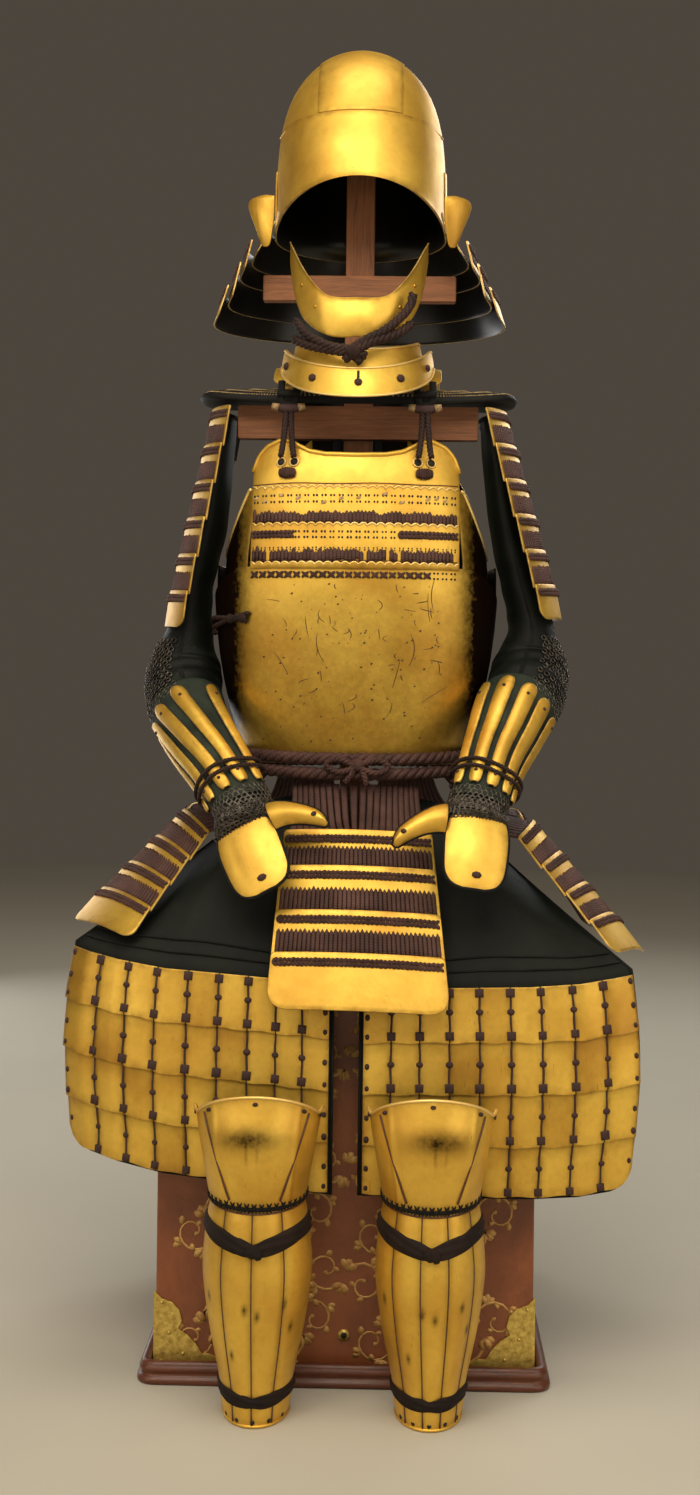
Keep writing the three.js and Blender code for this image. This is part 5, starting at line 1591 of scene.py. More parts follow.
# %% Throat guard: two lames with rolled rims and a few knots
THROAT = (
    # half width and depth at the top and bottom, top, bottom, lift of the ends, sweep
    (82, 88, 82, 95, 1318, 1274, 26, 76), (96, 101, 100, 112, 1290, 1250, 46, 82),
)
THROAT_CENTRE = -60
for k, (w0, w1, d0, d1, top, bottom, lift, sweep_angle) in enumerate(THROAT):

    def throat(u, v, out=0.0):
        a = rad(sweep_angle * u)
        z = mix(top, bottom + 14 * abs(u) ** 6, v) + lift * (1 - cos(a))
        x = (mix(w0, w1, v) + out) * sin(a)
        return vec(x, THROAT_CENTRE - (mix(d0, d1, v) + out) * cos(a), z)

    us = across_all((1, 0.99, 0.96, 0.92), 0.85, 45)
    V = array([0, 0.06, 0.15, 0.5, 0.85, 0.94, 1.0])[:, None] + 0 * us
    drop = edge_drop(throat, us, 0.5, 14)
    V = mix(drop[None], (1 - drop)[None], V)
    U = broadcast_to(us, V.shape)
    parts = [shell(throat(U, V, 2.2), throat(U, V, 0), gilded, bevel=0.6)]
    u = linspace(-0.97, 0.97, 70)
    drop = edge_drop(throat, u, 0.5, 14)
    # rolled rims in the paler gold of a painted highlight
    for edge in (drop + 0.03, 0.97 - drop):
        parts.append(sweep(throat(u, edge, 2.4), (3.6, 3.0), GOLD_HIGHLIGHT, up=(0, -1, 0.3)))
    dress(f"throat_lame_gold_{k + 1}", parts, "gold_lacquer", f"throat_lame_{k + 1}")
    if k == 1:
        spots = array([-0.82, -0.42, 0.02, 0.42, 0.8])
        knots = [stamp(BEAD, on_surface(throat, spots, 0.5, 3.6, (12, 11, 6)), KNOT, 0.1, 6)]
        knots.append(strips(throat, [0.02], 0.12, 0.5, 3.5, 1.5, 2.3, KNOT, point=0, rows=3))
        dress("throat_knots", knots, "lacing")
tell("helmet and mask")

# %% [markdown]
# ## Sleeves, forearm splints and hand plates
# Under the shoulder guards hang quilted silk sleeves that end in mail at the wrist. Five gilded splints
# lie along each forearm, and a domed plate covers the back of each hand. The sleeve is a tube through a
# table of stations, and a few sine waves across it make the creases that gather at the elbow.

# %% Sleeve surfaces
SLEEVES = {
    # x, y, z, half width across the arm, half width the other way
    "right": [
        (-178, 2, 1248, 11, 40), (-188, 4, 1190, 17, 46), (-202, 6, 1100, 22, 48), (-223, 8, 1010, 25, 48),
        (-229, 6, 950, 32, 50), (-233, -6, 897, 50, 52), (-229, -42, 857, 51, 49), (-210, -92, 826, 46, 42),
        (-187, -138, 796, 42, 37), (-160, -180, 763, 38, 32), (-137, -210, 729, 36, 28),
        (-129, -221, 712, 37, 26),
    ],
    "left": [
        (178, 2, 1248, 11, 40), (188, 4, 1190, 17, 46), (203, 6, 1100, 22, 48), (228, 8, 1010, 28, 48),
        (240, 6, 958, 32, 50), (238, -8, 908, 50, 52), (229, -50, 870, 53, 49), (207, -96, 837, 50, 43),
        (190, -138, 802, 44, 37), (174, -180, 768, 38, 32), (162, -210, 733, 36, 28),
        (157, -221, 717, 37, 26),
    ],
}


def sleeve_surface(side):
    """Along counts stations from the shoulder; turn 0 faces forward and up, and grows towards +X."""
    table = array(SLEEVES[side], float)
    line = curve_through(table, 331)
    share = linspace(0, len(table) - 1, len(line))
    along_line = unit(np.gradient(line[:, :3], axis=0))
    across_line = unit(array([1.0, 0, 0]) - along_line * along_line[:, :1])

    def place(along, turn, out=0.0):
        along, turn, out = floats(along, turn, out)
        pick = lambda data: stack([interp(along, share, data[:, k]) for k in range(data.shape[1])], -1)
        row = pick(line)
        forward, across = unit(pick(along_line)), unit(pick(across_line))
        up = cross(forward, across)
        a = rad(turn)
        reach = ((row[..., 3] + out) * sin(a))[..., None] * across
        return row[..., :3] + reach + ((row[..., 4] + out) * cos(a))[..., None] * up

    return place


def creases(along, turn):
    """Folds across the arm, deepest at the elbow and on the outer side, plus slack along it."""
    elbow = exp(-(((along - 5.2) / 1.5) ** 2))
    slant = sin(rad(turn)) * 0.8
    folds = sin(along * 9.5 + slant * 2 + 1.3 * sin(along * 2.3)) * (0.7 + 1.3 * elbow)
    folds += sin(along * 4.1 - slant * 3 + 2.0) * 0.9
    length = sin(rad(turn) * 3 + along * 1.2) * 0.7
    return (folds * (0.6 + 0.4 * cos(rad(turn * 2) + along)) + length) * clamp((10.6 - along) / 1.5)


sleeve_along = linspace(0, 11, 133)
sleeve_turn = linspace(0, 360, 48, endpoint=False)
for side, s in SIDES:
    place = sleeve_surface(side)
    T, L = meshgrid(sleeve_turn, sleeve_along)
    depth = 0.75 * creases(L, T)
    skin = shell(place(L, T, depth - 0.4), place(L, T, depth - 1.7), [SLEEVE_CLOTH], ring=True, bevel=0)
    made = dress(f"sleeve_cloth_{side}", [skin], "cloth", f"sleeve_{side}")

    # bound edges, and the greyish cloth under the splints with its mail
    cuffs = []
    for along in (0.03, 10.96):
        ring = place(along, sleeve_turn, 0.3)
        cuffs.append(sweep(ring, 5.0, HEM, closed=True))
    dress(f"sleeve_binding_{side}", cuffs, "cloth")
    T, L = meshgrid(linspace(s * -72, s * 128, 44), linspace(6.35, 10.1, 46))
    depth = 0.75 * creases(L, T)
    under = shell(place(L, T, depth + 1.5), place(L, T, depth + 0.3), [GREEN_CLOTH], bevel=0)
    made = dress(f"forearm_cloth_{side}", [under], "cloth")

    # mail: rows of small iron rings round the wrist and over the outer elbow
    spots = []
    for low, high, first, last in ((9.8, 10.95, -180, 180), (4.3, 6.6, 20, 150)):
        rows = int((high - low) * 44 / 7.0)
        for r in range(rows):
            along = low + (high - low) * (r + 0.5) / rows
            girth = 6.283 * 42 * (last - first) / 360
            count = int(girth / 7.8)
            turn = first + (last - first) * (arange(count) + 0.5 * (r % 2)) / count
            spots.append(stack([full(count, along), turn * s], -1))
    spots = concatenate(spots)
    lift = 0.75 * creases(spots[:, 0], spots[:, 1]) + 1.5
    spin = np.where(arange(len(spots)) % 2, 32, -32)
    rings = on_surface(place, spots[:, 0], spots[:, 1], lift, (9.6, 8.4, 10.0), spin)
    dress(f"sleeve_mail_{side}", [stamp(RING, rings, IRON, 0.1, 8)], None)

# %% Splints: five gilded strips along each forearm, tied once round the wrist
SPLINTS = {"from": 6.55, "to": 9.75, "tie": 9.28, "half_turn": 12.0, "clear": 3.2}
SPLINT_TURNS = {
    # degrees outward from the arm's front, at the elbow and at the wrist
    "right": [(-34, -50), (22, -14), (61, 20), (94, 58), (126, 98)],
    "left": [(-48, -50), (-12, -14), (22, 18), (52, 50), (86, 82)],
}
for side, s in SIDES:
    place = sleeve_surface(side)
    strips_made, studs = [], []
    for elbow, wrist in SPLINT_TURNS[side]:
        start = SPLINTS["from"] + 0.2 * math.sin(rad(abs(elbow)))
        t = concatenate([[0, 0.012, 0.035, 0.07], linspace(0.12, 0.88, 12), [0.93, 0.965, 0.988, 1]])
        w = linspace(-1, 1, 9)
        W, T = meshgrid(w, t)
        end = minimum(T, 1 - T)
        narrow = sqrt(clamp(1 - ((0.07 - minimum(end, 0.07)) / 0.075) ** 2))
        half = SPLINTS["half_turn"] * (0.34 + 0.66 * narrow) * mix(1.0, 0.96, T)
        turn = s * mix(elbow, wrist, T) + W * half
        lift = SPLINTS["clear"] + 2.4 * (1 - W * W)
        along = mix(start, SPLINTS["to"], T)
        strips_made.append(
            shell(place(along, turn, lift + 2.4), place(along, turn, lift), gilded, bevel=0.6)
        )
        spots = array([0.1, 0.9])
        studs.append(
            on_surface(place, mix(start, SPLINTS["to"], spots), s * mix(elbow, wrist, spots),
                       SPLINTS["clear"] + 5.0, (5, 5, 4))
        )
    studs = [concatenate([group[k] for group in studs]) for k in range(3)]
    strips_made.append(stamp(DOME, studs, KNOT, 0.05, 9))
    dress(f"forearm_splints_{side}", strips_made, "gold_lacquer", f"splints_{side}")
    turns = linspace(s * -80, s * 250, 60)
    ties = []
    for shift in (-0.1, 0.08):
        path = place(SPLINTS["tie"] + shift + 0.03 * sin(rad(turns) * 3), turns, 9.0)
        ties.append(twisted(path, 5.5, MASK_CORD, 3, 13, per_turn=8))
    dress(f"wrist_tie_{side}", ties, "lacing")

# %% [markdown]
# The hand plate is a shallow dome with a rolled edge and a silk knot, sewn to the glove along its top.
# Its curve is a parabola across and a sine along, and the smaller thumb plate is made the same way.

# %% Hand and thumb plates
HANDS = {"right": (-115, -252, 663, 24, -29, -6), "left": (156, -258, 674, 24, 8, 6)}
HAND = {"half_width": 40, "height": 96, "bulge": 9}
HAND_OUTLINE = curve_through(
    [(0, 0.7), (0.06, 0.9), (0.3, 1), (0.7, 0.96), (0.85, 0.86), (0.95, 0.66), (1, 0.34)], 90
)
for side, s in SIDES:
    x, y, z, lean, roll, turn = HANDS[side]
    pose = (
        Matrix.Rotation(rad(turn), 3, "Z") @ Matrix.Rotation(rad(roll), 3, "Y")
        @ Matrix.Rotation(rad(-lean), 3, "X")
    )
    spin, origin = array(pose), array([x, y, z], float)

    def hand(u, v, out=0.0):
        w = interp(v, HAND_OUTLINE[:, 0], HAND_OUTLINE[:, 1])
        bow = HAND["bulge"] * (1 - u * u * w * w) + 4.5 * sin(pi * v)
        crest = 0.8 * exp(-((abs(u) - 0.5) / 0.16) ** 2) * sin(pi * clamp(v * 1.1))
        points = vec(HAND["half_width"] * w * u, -bow - out + crest, HAND["height"] * (0.5 - v))
        return points @ spin.T + origin

    def thumb(q, t, out=0.0):
        slim = mix(1, 0.66, t) * sqrt(clamp(1 - (maximum(t - 0.86, 0) / 0.15) ** 2))
        reach, rise = mix(40, 103, t), 40 - 40 * t**1.7
        bow = 10 * (1 - q * q) * sqrt(slim)
        points = vec(-s * reach, -bow - out - 4, rise + q * 19 * slim)
        return points @ spin.T + origin

    us, vs = linspace(-1, 1, 25), sin(linspace(0, pi / 2, 33))
    shown = [plate(hand, us, vs, 2.4, finishes=gilded, bevel=0.7)]

    def glove(u, v, out=0.0):
        """The mail that joins the sleeve's end to the plate, over the glove."""
        u, v, out = floats(u, v, out)
        cuff = sleeve_surface(side)(10.75 + 0 * u, 84 * u, 2.0 + out)
        swell = 5 * sin(pi * v)[..., None] * array([0, -1.0, 0.4])
        return mix(cuff, hand(1.04 * u, 0.03 + 0 * u, out + 1.0), v[..., None] ** 1.1) + swell

    U, V = meshgrid(linspace(-1, 1, 21), linspace(0, 1, 9))
    under = shell(glove(U, V, 0.6), glove(U, V, -0.6), [HEM], bevel=0)
    made = dress(f"glove_{side}", [under], "cloth")
    u, v = meshgrid(linspace(-0.97, 0.97, 13), linspace(0.04, 0.96, 7))
    u, v = np.ravel(u + 0.04 * (arange(7) % 2)[:, None]), np.ravel(v)
    lean_of = np.where(arange(len(u)) % 2, 32, -32)
    links = on_surface(glove, u, v, 2.0, (9.6, 8.4, 10.0), lean_of)
    dress(f"glove_mail_{side}", [stamp(RING, links, IRON, 0.1, 8)], None)
    edge_u = concatenate([full(30, 1.0), linspace(1, -1, 14)[1:-1], full(30, -1.0)])
    edge_v = concatenate([linspace(0, 1, 30), full(12, 1.0), linspace(1, 0, 30)])
    welt = [sweep(hand(edge_u, edge_v, 0.8), 4.6, HEM, up=(0, -1, 0.2))]
    dress(f"hand_gold_{side}", shown, "gold_lacquer", f"hand_plate_{side}")
    shown = [plate(thumb, linspace(-1, 1, 13), linspace(0, 1, 25), 2.2, finishes=gilded, bevel=0.6)]
    dress(f"thumb_gold_{side}", shown, "gold_lacquer", f"thumb_plate_{side}")
    q = concatenate([full(24, 1.0), full(24, -1.0)])
    t = concatenate([linspace(0, 1, 24), linspace(1, 0, 24)])
    welt.append(sweep(thumb(q, t, 0.4), 3.8, HEM, up=(0, -1, 0.2)))
    dress(f"hand_welt_{side}", welt, "cloth")
    sewn = [stamp(BEAD, on_surface(hand, [0.05], [0.82], 3.2, (13, 9, 5)), KNOT, 0)]
    sewn.append(stamp(BEAD, on_surface(thumb, [0.1], [0.84], 2.9, (7, 8, 4)), KNOT, 0))
    u = linspace(-0.92, 0.92, 15)
    sewn.append(stamp(BEAD, on_surface(hand, u, 0.025, 2.6, (1.6, 6, 1.8)), KNOT, 0.2, 3))
    dress(f"hand_knots_{side}", sewn, "lacing")
tell("arms")

# %% [markdown]
# ## Thigh guards
# The haidate is a cloth apron, split below the waist, with rows of gilded leather plates sewn to the
# part that hangs over the thighs. Each plate overlaps the next row, and thick silk ties hold it at its
# corners. The cloth and the plates share one surface: from the waist over the lap to the knee, then down.

# %% The lap surface
KNEE_LINE = {
    "right": ((0, -16, -246, 516), (0.62, -226, -246, 532), (0.8, -284, -232, 540),
              (0.92, -324, -210, 546), (1, -349, -186, 550)),
    "left": ((0, 16, -246, 510), (0.62, 226, -248, 516), (0.8, 288, -242, 520),
             (0.92, 330, -232, 526), (1, 356, -222, 530)),
}


def lap_surface(side, s):
    table = array(KNEE_LINE[side], float)

    def knee_at(t):
        return stack([interp(t, table[:, 0], table[:, k]) for k in (1, 2, 3)], -1)

    def place(t, v, out=0.0):
        t, v, out = floats(t, v, out)
        knee = knee_at(t)
        waist = torso(s * rad(mix(6, 80, t)), 776, -6)
        waist[..., 2] = mix(742, 716, t)
        rise = clamp(v)[..., None]
        lap = mix(waist, knee, rise)
        thigh = exp(-(((t - 0.55) / 0.3) ** 2))
        arch = sin(pi * clamp(v))
        lap[..., 2] += (34 * thigh - 8) * arch + 0.83 * out
        lap[..., 1] += -10 * thigh * arch - 0.55 * out
        drop = maximum(0, v - 1)
        hem = mix(268, 256, t) if side == "right" else mix(262, 272, t)
        flare = 10 * s * t * t * sin(pi * minimum(1, drop * 1.1))
        along = knee_at(minimum(1, t + 0.06)) - knee_at(maximum(0, t - 0.06))
        away = unit(stack([s * along[..., 1], -s * along[..., 0], 0 * t], -1))
        fall = knee + stack([flare, -6 * sin(pi * drop), -hem * drop], -1) + away * out[..., None]
        return np.where(v[..., None] <= 1, lap, fall)

    return place


def lap_corner(t):
    """How far the outer lower corner is rounded, as a share of the hanging part."""
    away = clamp(1 - (1 - t) * 345 / 30)
    return 30 / 262 * (1 - sqrt(1 - away**2))


# %% Apron cloth with its bound edges
for side, s in SIDES:
    place = lap_surface(side, s)
    t = linspace(0, 1, 61)
    v = concatenate([linspace(0, 0.9, 28), linspace(0.93, 1.07, 8), linspace(1.12, 2, 16)])
    T, L = meshgrid(t, v)
    L = L - lap_corner(T) * clamp((L - 1) / 0.95)
    soft = sin(pi * clamp(L)) * (1.6 * sin(T * 23 + 3 * L) + 1.2 * sin(T * 9 - 6 * L))
    lift = 0.6 * soft * clamp(minimum(T, 1 - T) / 0.06)
    cloth = shell(place(T, L, lift), place(T, L, lift - 1.6), [CLOTH], bevel=0)
    made = dress(f"thigh_apron_{side}", [cloth], "cloth", f"thigh_cloth_{side}")
    lines = []
    for at in (0.9, 0.955):
        lines.append(sweep(place(t[1:-1], at, 1.2), 2.4, HEM))
    for edge in (0.004, 0.996):
        down = linspace(0.02, 1.995 - lap_corner(edge), 90)
        lines.append(sweep(place(edge, down, -0.4), 4.0, HEM))
    lines.append(sweep(place(t, 1.995 - lap_corner(t), -0.4), 4.0, HEM))
    dress(f"apron_binding_{side}", lines, "cloth")

# %% Four rows of gilded plates and their ties
ROWS = {"top": 1.02, "foot": 1.985, "count": 4, "lift": 3.0}
COLUMNS = {
    "right": (0.0, 0.102, 0.2, 0.305, 0.415, 0.53, 0.645, 0.76, 0.87, 1.0),
    "left": (0.0, 0.105, 0.21, 0.32, 0.43, 0.545, 0.655, 0.77, 0.88, 1.0),
}
for side, s in SIDES:
    place = lap_surface(side, s)
    lines = array(COLUMNS[side]) * 0.98 + 0.014
    plates, ties, cords = [], [], []
    height = (ROWS["foot"] - ROWS["top"]) / ROWS["count"]
    for row in range(ROWS["count"]):
        v0 = ROWS["top"] + row * height
        for k in range(len(lines) - 1):
            first, final = k == 0, k == len(lines) - 2
            bottom_row = row == ROWS["count"] - 1
            t = linspace(lines[k] + 0.0015, lines[k + 1] - 0.0015, 9)
            share = array([0, 0.03, 0.1, 0.3, 0.55, 0.8, 0.93, 0.98, 1.0])
            foot = v0 + height * (1.0 if bottom_row else 1.045)
            T, S = meshgrid(t, share)
            across = (T - t[0]) / (t[-1] - t[0])
            wavy = 0.0035 * sin(7 * T * 6 + row * 1.7) * S
            corner = lap_corner(T + 0.004) * S if bottom_row and final else 0.0
            V = mix(v0, foot, S) + wavy - corner
            crown = 1.5 * sin(pi * across) ** 0.7
            dent = 0.5 * sin(5.3 * row + 3.1 * k) * sin(pi * S)
            lift = ROWS["lift"] + 3.3 * S**1.3 + crown + dent
            back = minimum(lift - 0.6, ROWS["lift"] + 3.3 * S**1.3)
            # painted shade: darker just under the row above, and along each plate's side edges where it
            # meets the next
            shade = 0.5 * exp(-S / 0.1) * (row > 0) + 0.35 * exp(-minimum(across, 1 - across) / 0.05)
            # each plate's rim in the paler gold of a painted highlight
            finish = [GOLD_OLD if (k * 7 + row * 3) % 4 == 0 else GOLD, BLACK, GOLD_HIGHLIGHT]
            plates.append(
                shell(place(T, V, lift + 1.9), place(T, V, back), finish, bevel=0.6, soot=shade)
            )
    inner = lines[1:-1]
    lift_at = lambda share: ROWS["lift"] + 3.3 * share**1.3 + 2.6
    for row in range(ROWS["count"]):
        v0 = ROWS["top"] + row * height
        spots = [(0.91, SQUARE, (10.5, 10.5, 5), 45), (0.46, BEAD, (9.6, 8.0, 4.6), 0)]
        if row == 0:
            spots.append((0.1, SQUARE, (10.5, 10.5, 5), 45))
        for share, kind, size, spin in spots:
            if kind is BEAD and side == "right" and row == 3:
                size = (8.4, 8.6, 4.4)
            at = on_surface(place, inner, v0 + height * share, lift_at(share), size, spin)
            ties.append(stamp(kind, at, KNOT, 0.1, 10 + row))
        for t in inner:
            down = linspace(v0 + height * 0.02, v0 + height * 0.98, 12)
            raised = linspace(lift_at(0.02), lift_at(0.98), 12) - 1.2
            wander = t + 0.0016 * sin(down * 40 + t * 50)
            cords.append(sweep(place(wander, down, raised), (3.0, 2.4, 6), KNOT))
    # ovals along the outer and inner edges
    for t in (lines[0] + 0.016, lines[-1] - 0.016):
        v = ROWS["top"] + height * array([0.1, 0.55, 0.92, 1.5, 1.92, 2.5, 2.92, 3.5, 3.88])
        v = v[:-1] if t > 0.5 else v
        share = np.mod((v - ROWS["top"]) / height, 1)
        at = on_surface(place, t, v, lift_at(share), (6.6, 8.4, 4.6), 0)
        ties.append(stamp(BEAD, at, KNOT, 0.15, 21))
    dress(f"thigh_plates_gold_{side}", plates, "gold_lacquer", f"thigh_plates_{side}")
    dress(f"thigh_ties_{side}", ties + cords, "lacing")

# %% [markdown]
# ## Shin guards
# Each shin guard is a few hammered plates joined edge to edge, under a knee plate that stands up in a
# shield with two ears. Cloth ties hold it, the upper one drawn down to a knot on the shin.

# %% Shin and knee surfaces
SHIN = curve_through([(0, 38, -354, -292), (45, 42, -358, -292), (110, 55, -368, -294),
                      (172, 63, -374, -296), (215, 61, -372, -300), (262, 55, -366, -306)], 60)
KNEE = curve_through([(263, 56, -367, -310), (300, 62, -374, -314), (345, 70, -376, -312),
                      (378, 75, -370, -302), (402, 79, -364, -296)], 60)
SHIN_X = {"right": -103, "left": 106}
SCUFFS = ((-0.62, 152), (-0.1, 146), (0.05, 139), (0.38, 150), (-0.3, 88), (0.5, 120))
SHIN_SEAMS = {"right": (-0.4, -0.02, 0.36), "left": (-0.48, -0.12, 0.2, 0.56)}


def shin_surface(table, x):
    def place(u, z, out=0.0):
        w, front, back = (interp(z, table[:, 0], table[:, k]) for k in (1, 2, 3))
        turn = rad(92 * u)
        return vec(x + (w + out) * sin(turn), back - (back - front + out) * cos(turn), z)

    return place


def knee_top(u):
    """The knee plate's edge: a hump over the knee between two dips, and an ear at each end."""
    away = abs(u)
    hump = 28 * cos(pi / 2 * minimum(1, away * 1.3)) ** 0.9
    ear = 5 * exp(-(((away - 0.9) / 0.12) ** 2))
    return 369 + hump + ear


for side, s in SIDES:
    shin = shin_surface(SHIN, SHIN_X[side])
    us = across_all((1, 0.99, 0.97), 0.93, 75)
    zs = concatenate([[0, 1, 4], linspace(12, 250, 54), [258, 261, 262]])

    joints = array([-1.02, *SHIN_SEAMS[side], 1.02])

    def ridges(U, Z):
        """Each plate is a little rounder than the leg, so the joints lie in shallow valleys."""
        across = np.mod(interp(U, joints, arange(len(joints))), 1)
        return 2.2 * sin(pi * across) ** 0.7 * clamp(Z / 14) * clamp((262 - Z) / 10) - 1.6 * exp(-Z / 8)

    U, Z = meshgrid(us, zs)
    scuffs = sum(exp(-(((U - a) / 0.03) ** 2) - ((Z - z) / 6) ** 2) for a, z in SCUFFS)
    # darker round the upper tie's knot, towards both sides and along the joints
    uneven_tone = 0.3 * exp(-((U / 0.35) ** 2) - ((Z - 215) / 16) ** 2) + 0.3 * abs(U) ** 6
    uneven_tone = uneven_tone + sum(0.35 * exp(-(((U - at) / 0.045) ** 2)) for at in joints)
    shown = [plate(shin, us, zs, 2.0, ridges, finishes=gilded, bevel=0.7, soot=clamp(scuffs + uneven_tone))]
    foot_u = linspace(-0.97, 0.97, 40)
    shown.append(sweep(shin(foot_u, 2.5, 1.2), 4.4, GOLD, up=(0, 0, 1)))
    dots_u = array([-0.6, -0.3, 0.0, 0.3, 0.6])
    shown.append(stamp(DISC, on_surface(shin, dots_u, 8, 2.3, (5.5, 5.5, 1.2)), HOLE, 0))
    dress(f"shin_gold_{side}", shown, "gold_lacquer", f"shin_guard_{side}")
    z = linspace(3, 258, 60)
    seams = [sweep(shin(at, z, 2.0), (2.2, 1.7, 6), SEAM_AND_SHADE, up=(0, -1, 0))
             for at in SHIN_SEAMS[side]]
    dress(f"shin_seams_{side}", seams, "gold_lacquer")

    knee = shin_surface(KNEE, SHIN_X[side])
    top = lambda u, t: mix(265.0, knee_top(u), t)
    shield = lambda u, t, out=0.0: knee(u, top(u, t), out)

    def swell(U, T):
        boss = 3.2 * exp(-((U / 0.42) ** 2) - ((T - 0.62) / 0.3) ** 2)
        ridge = sum(1.3 * exp(-(((U - at) / 0.03) ** 2)) for at in (-0.45, 0.45))
        crease = -0.9 * exp(-(((T - 0.42 - 0.5 * U * U) / 0.03) ** 2)) * exp(-((U / 0.24) ** 4))
        flare = 2.2 * exp(-(1 - T) / 0.05)
        return (boss + ridge + crease) * clamp(T / 0.08) * clamp((1 - T) / 0.06) + flare

    ts = concatenate([[0, 0.015, 0.04], linspace(0.08, 0.92, 30), [0.95, 0.97, 0.985, 1]])
    knee_u = linspace(-1, 1, 73)
    U, T = meshgrid(knee_u, ts)
    lean = 0.07 * s
    smudge = exp(-(((U - lean) / 0.3) ** 2) - ((T - 0.63) / 0.1) ** 2)
    drips = exp(-(((U - lean) / 0.12) ** 2) - ((T - 0.5) / 0.1) ** 2) * maximum(0, sin(U * 60)) ** 4
    edge = 0.4 * exp(-T / 0.05) + 0.3 * exp(-(1 - T) / 0.05)
    shown = [plate(shield, knee_u, ts, 2.2, swell, finishes=gilded, bevel=0.7,
                   soot=clamp(smudge + drips * 0.5 + edge))]
    u = linspace(-0.98, 0.98, 70)
    # the rolled top edge in the paler gold of a painted highlight
    rolled = sweep(shield(u, 0.985, 3.6), (3.8, 3.4), GOLD_HIGHLIGHT, up=(0, -1, 0.2))
    shown.append(rolled)
    u = array([-0.86, -0.5, 0.0, 0.5, 0.84])
    shown.append(stamp(DISC, on_surface(shield, u, 0.93, 4.4, (7, 5, 1.6)), KNOT, 0.05))
    dress(f"knee_gold_{side}", shown, "gold_lacquer", f"knee_plate_{side}")
    # brown seams beside the shield, and the cross-stitched join under it with pale piping
    sewn = []
    for at in (-1, 1):
        t = linspace(0.06, 0.93, 30)
        line = shield(at * mix(0.29, 0.6, t**0.8), t, 3.4)
        sewn.append(sweep(line, (2.6, 2.4, 6), SEAM_AND_SHADE, up=(0, -1, 0)))
    u = linspace(-0.95, 0.95, 60)
    sag = lambda u, z: z + 8 - 7 * cos(pi / 2 * u)
    sewn.append(sweep(shin(u, sag(u, 262), 3.4), (5.5, 4.4), HEM, up=(0, -1, 0)))
    sewn.append(sweep(shin(u, sag(u, 257), 3.2), (2.6, 2.6), SEAM_AND_SHADE, up=(0, -1, 0)))
    u = linspace(-0.93, 0.93, 21)
    for lean in (28, -28):
        at = on_surface(shin, u, sag(u, 264), 5.2, (2.8, 14, 2.8), lean)
        sewn.append(stamp(BEAD, at, HEM, 0.1, 5))
    dress(f"knee_join_{side}", sewn, "lacing")

# %% Shin ties
for side, s in SIDES:
    shin = shin_surface(SHIN, SHIN_X[side])
    for name, middle, dip, half in (("upper", 236, 20, 10.5), ("lower", 36, 4, 8.5)):
        u = linspace(-0.99, 0.99, 61)
        drop = dip * (1 - minimum(1, abs(u) * 1.1)) ** 1.3
        w = linspace(-1, 1, 9)
        U, W = meshgrid(u, w)
        Z = middle + W * half * (1 - 0.25 * exp(-((U / 0.1) ** 2))) - drop[None]
        lift = 3.4 + 1.5 * (1 - W * W) + 0.9 * sin(W * 7 + U * 9)
        band = shell(shin(U, Z, lift + 1.2), shin(U, Z, lift - 0.1), [TIE_CLOTH], bevel=0)
        parts = [band]
        if name == "upper":
            low = middle - dip
            knot = on_surface(shin, [0.0, 0.05], [low, low - 3], [6.5, 7], [(22, 17, 10), (12, 14, 9)])
            parts.append(stamp(BEAD, knot, TIE_CLOTH, 0))
        dress(f"shin_tie_cloth_{name}_{side}", parts, "cloth", f"shin_tie_{name}_{side}")
tell("legs")

# %% [markdown]
# ## Shoulder yoke and its fastenings
# The yoke is a quilted collar plate in dark cloth that sits on the stand's bar under the straps. Cords
# with toggles hold the shoulder straps to the chest plate through gilt grommets.

# %% The quilted yoke
YOKE = {"width": 217, "depth": 80, "neck": (76, 62), "thick": 13, "top": 1281}


def yoke(turn, t, lift=0.0):
    cosine, sine = cos(turn), sin(turn)
    x = mix(YOKE["neck"][0] * cosine, YOKE["width"] * np.sign(cosine) * abs(cosine) ** 0.6, t)
    y = mix(YOKE["neck"][1] * sine, YOKE["depth"] * np.sign(sine) * abs(sine) ** 0.6, t) + 4
    droop = 5 * (abs(x) / YOKE["width"]) ** 2
    lip = 13 * clamp((-y - 40) / 36) ** 1.5
    return vec(x, y, YOKE["top"] - droop - lip + lift)


turns = linspace(0, 2 * pi, 120, endpoint=False)
share = concatenate([[0, 0.02, 0.06], linspace(0.12, 0.88, 14), [0.94, 0.98, 1.0]])
A, T = meshgrid(turns, share)
round_edge = 5.5 * (1 - sqrt(1 - clamp(1 - minimum(T, 1 - T) / 0.07) ** 2))
quilt = 1.0 * abs(sin(T * pi * 5)) ** 0.6 - 1.0
top, low = yoke(A, T, quilt - round_edge), yoke(A, T, -YOKE["thick"] + round_edge)
body = shell(top, low, [HEM], ring=True, bevel=0)
made = dress("shoulder_yoke_quilt", [body], "cloth", "shoulder_yoke")
stitches = []
for t in (0.2, 0.4, 0.6, 0.8, 0.955):
    count = int(360 * (0.6 + t))
    a = linspace(0, 2 * pi, count // 2, endpoint=False)
    at = on_surface(yoke, a, t, 0.0 if t < 0.9 else -1.4, (2.0, 3.4, 1.6))
    stitches.append(stamp(BEAD, at, PIPING, 0.15, 12))
dress("yoke_stitching", stitches, "lacing")

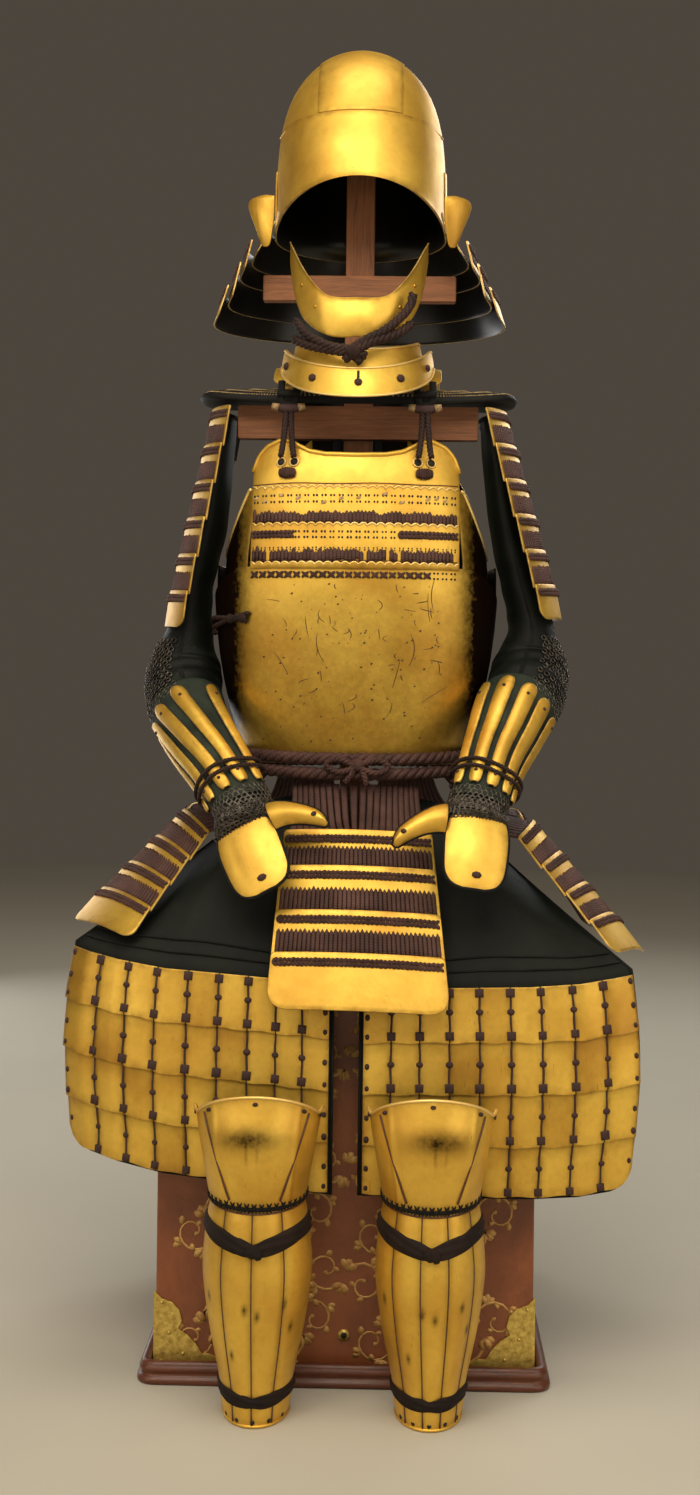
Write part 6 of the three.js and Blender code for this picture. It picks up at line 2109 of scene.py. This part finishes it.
# %% Loops, toggles and cords from the straps down to the chest plate
parts, gilt = [], []
for side, s in SIDES:
    x = s * 90
    loop = [(x - 10, -94, 1282), (x - 9, -103, 1252), (x + 9, -103, 1252), (x + 10, -94, 1282)]
    loop = curve_through(loop, 20)
    parts.append(sweep(loop, (10, 6), HEM, up=(0, -1, 0)))
    parts.append(sweep([(x - 15, -103, 1264), (x + 15, -103, 1264)], (8, 9), HEM))
    share = linspace(-1, 1, 13)
    barrel = stack([x + 19 * share, -106 + 0 * share, 1244 + 2.5 * share**2], -1)
    swell = lambda t: round_section(12.5 - 5.5 * abs(2 * t - 1) ** 1.5, sides=10)(t)
    parts.append(sweep(barrel, swell, KNOT, up=(0, -1, 0)))
    for end in (-1, 1):
        tip = [(x + end * 13, -107, 1245), (x + end * 22, -107, 1247)]
        gilt.append(sweep(tip, lambda t: round_section(11.5 - 3 * t)(t), HORN, up=(0, -1, 0)))
    knot_z = 1158
    for lean in (-5, 5):
        line = curve_through([
            (x + lean * 0.7, -104, 1243), (x + lean * 0.8, -111, 1222), (x + lean * 1.2, -121, 1196),
            (x + lean * 1.7, -128, 1178),
        ], 26)
        parts.append(twisted(line, 8.4, MASK_CORD, 3, 17, per_turn=8))
    for shift in (-7, 7):
        at = on_surface(breast, [x + 1.25 * shift], [1173.0], 2.8, (16, 16, 16))
        # grommet rings in the paler gold used for painted highlights
        gilt.append(stamp(RING, at, GOLD_HIGHLIGHT, 0))
        at = on_surface(breast, [x + 1.25 * shift], [1173.0], 2.6, (10, 10, 1))
        gilt.append(stamp(DISC, at, HOLE, 0))
    ribs = linspace(-9, 9, 7)
    sizes = stack([4.8 + 0 * ribs, 18 - 0.06 * ribs**2, 11 + 0 * ribs], -1)
    at = on_surface(breast, x + ribs, knot_z, 5.0, sizes)
    parts.append(stamp(BEAD, at, LACE, 0.04, 2))
dress("strap_fastenings", parts, "lacing")
dress("strap_gilt", gilt, "brass")

# %% Dark straps beside the post
webs = []
for x in (-30, 30):
    line = [(x, -24, 1262), (x * 0.95, -30, 1235), (x * 0.9, -26, 1190), (x * 0.85, -20, 1150)]
    line = curve_through(line, 20)
    webs.append(sweep(line, (11, 3), HEM, up=(0, -1, 0)))
dress("neck_straps", webs, "cloth")
tell("yoke")

# %% [markdown]
# ## The last measures
# The small pieces that were stamped are removed, and the count of pieces and triangles is printed.

# %% Finish
for piece in (BEAD, DOME, DISC, RING, SQUARE, SCROLL, LEAF):
    bpy.data.objects.remove(piece)
heaviest = sorted(TRIANGLES.items(), key=lambda item: -item[1])[:6]
print(len(TRIANGLES), "pieces,", sum(TRIANGLES.values()), "triangles; the heaviest:", heaviest)
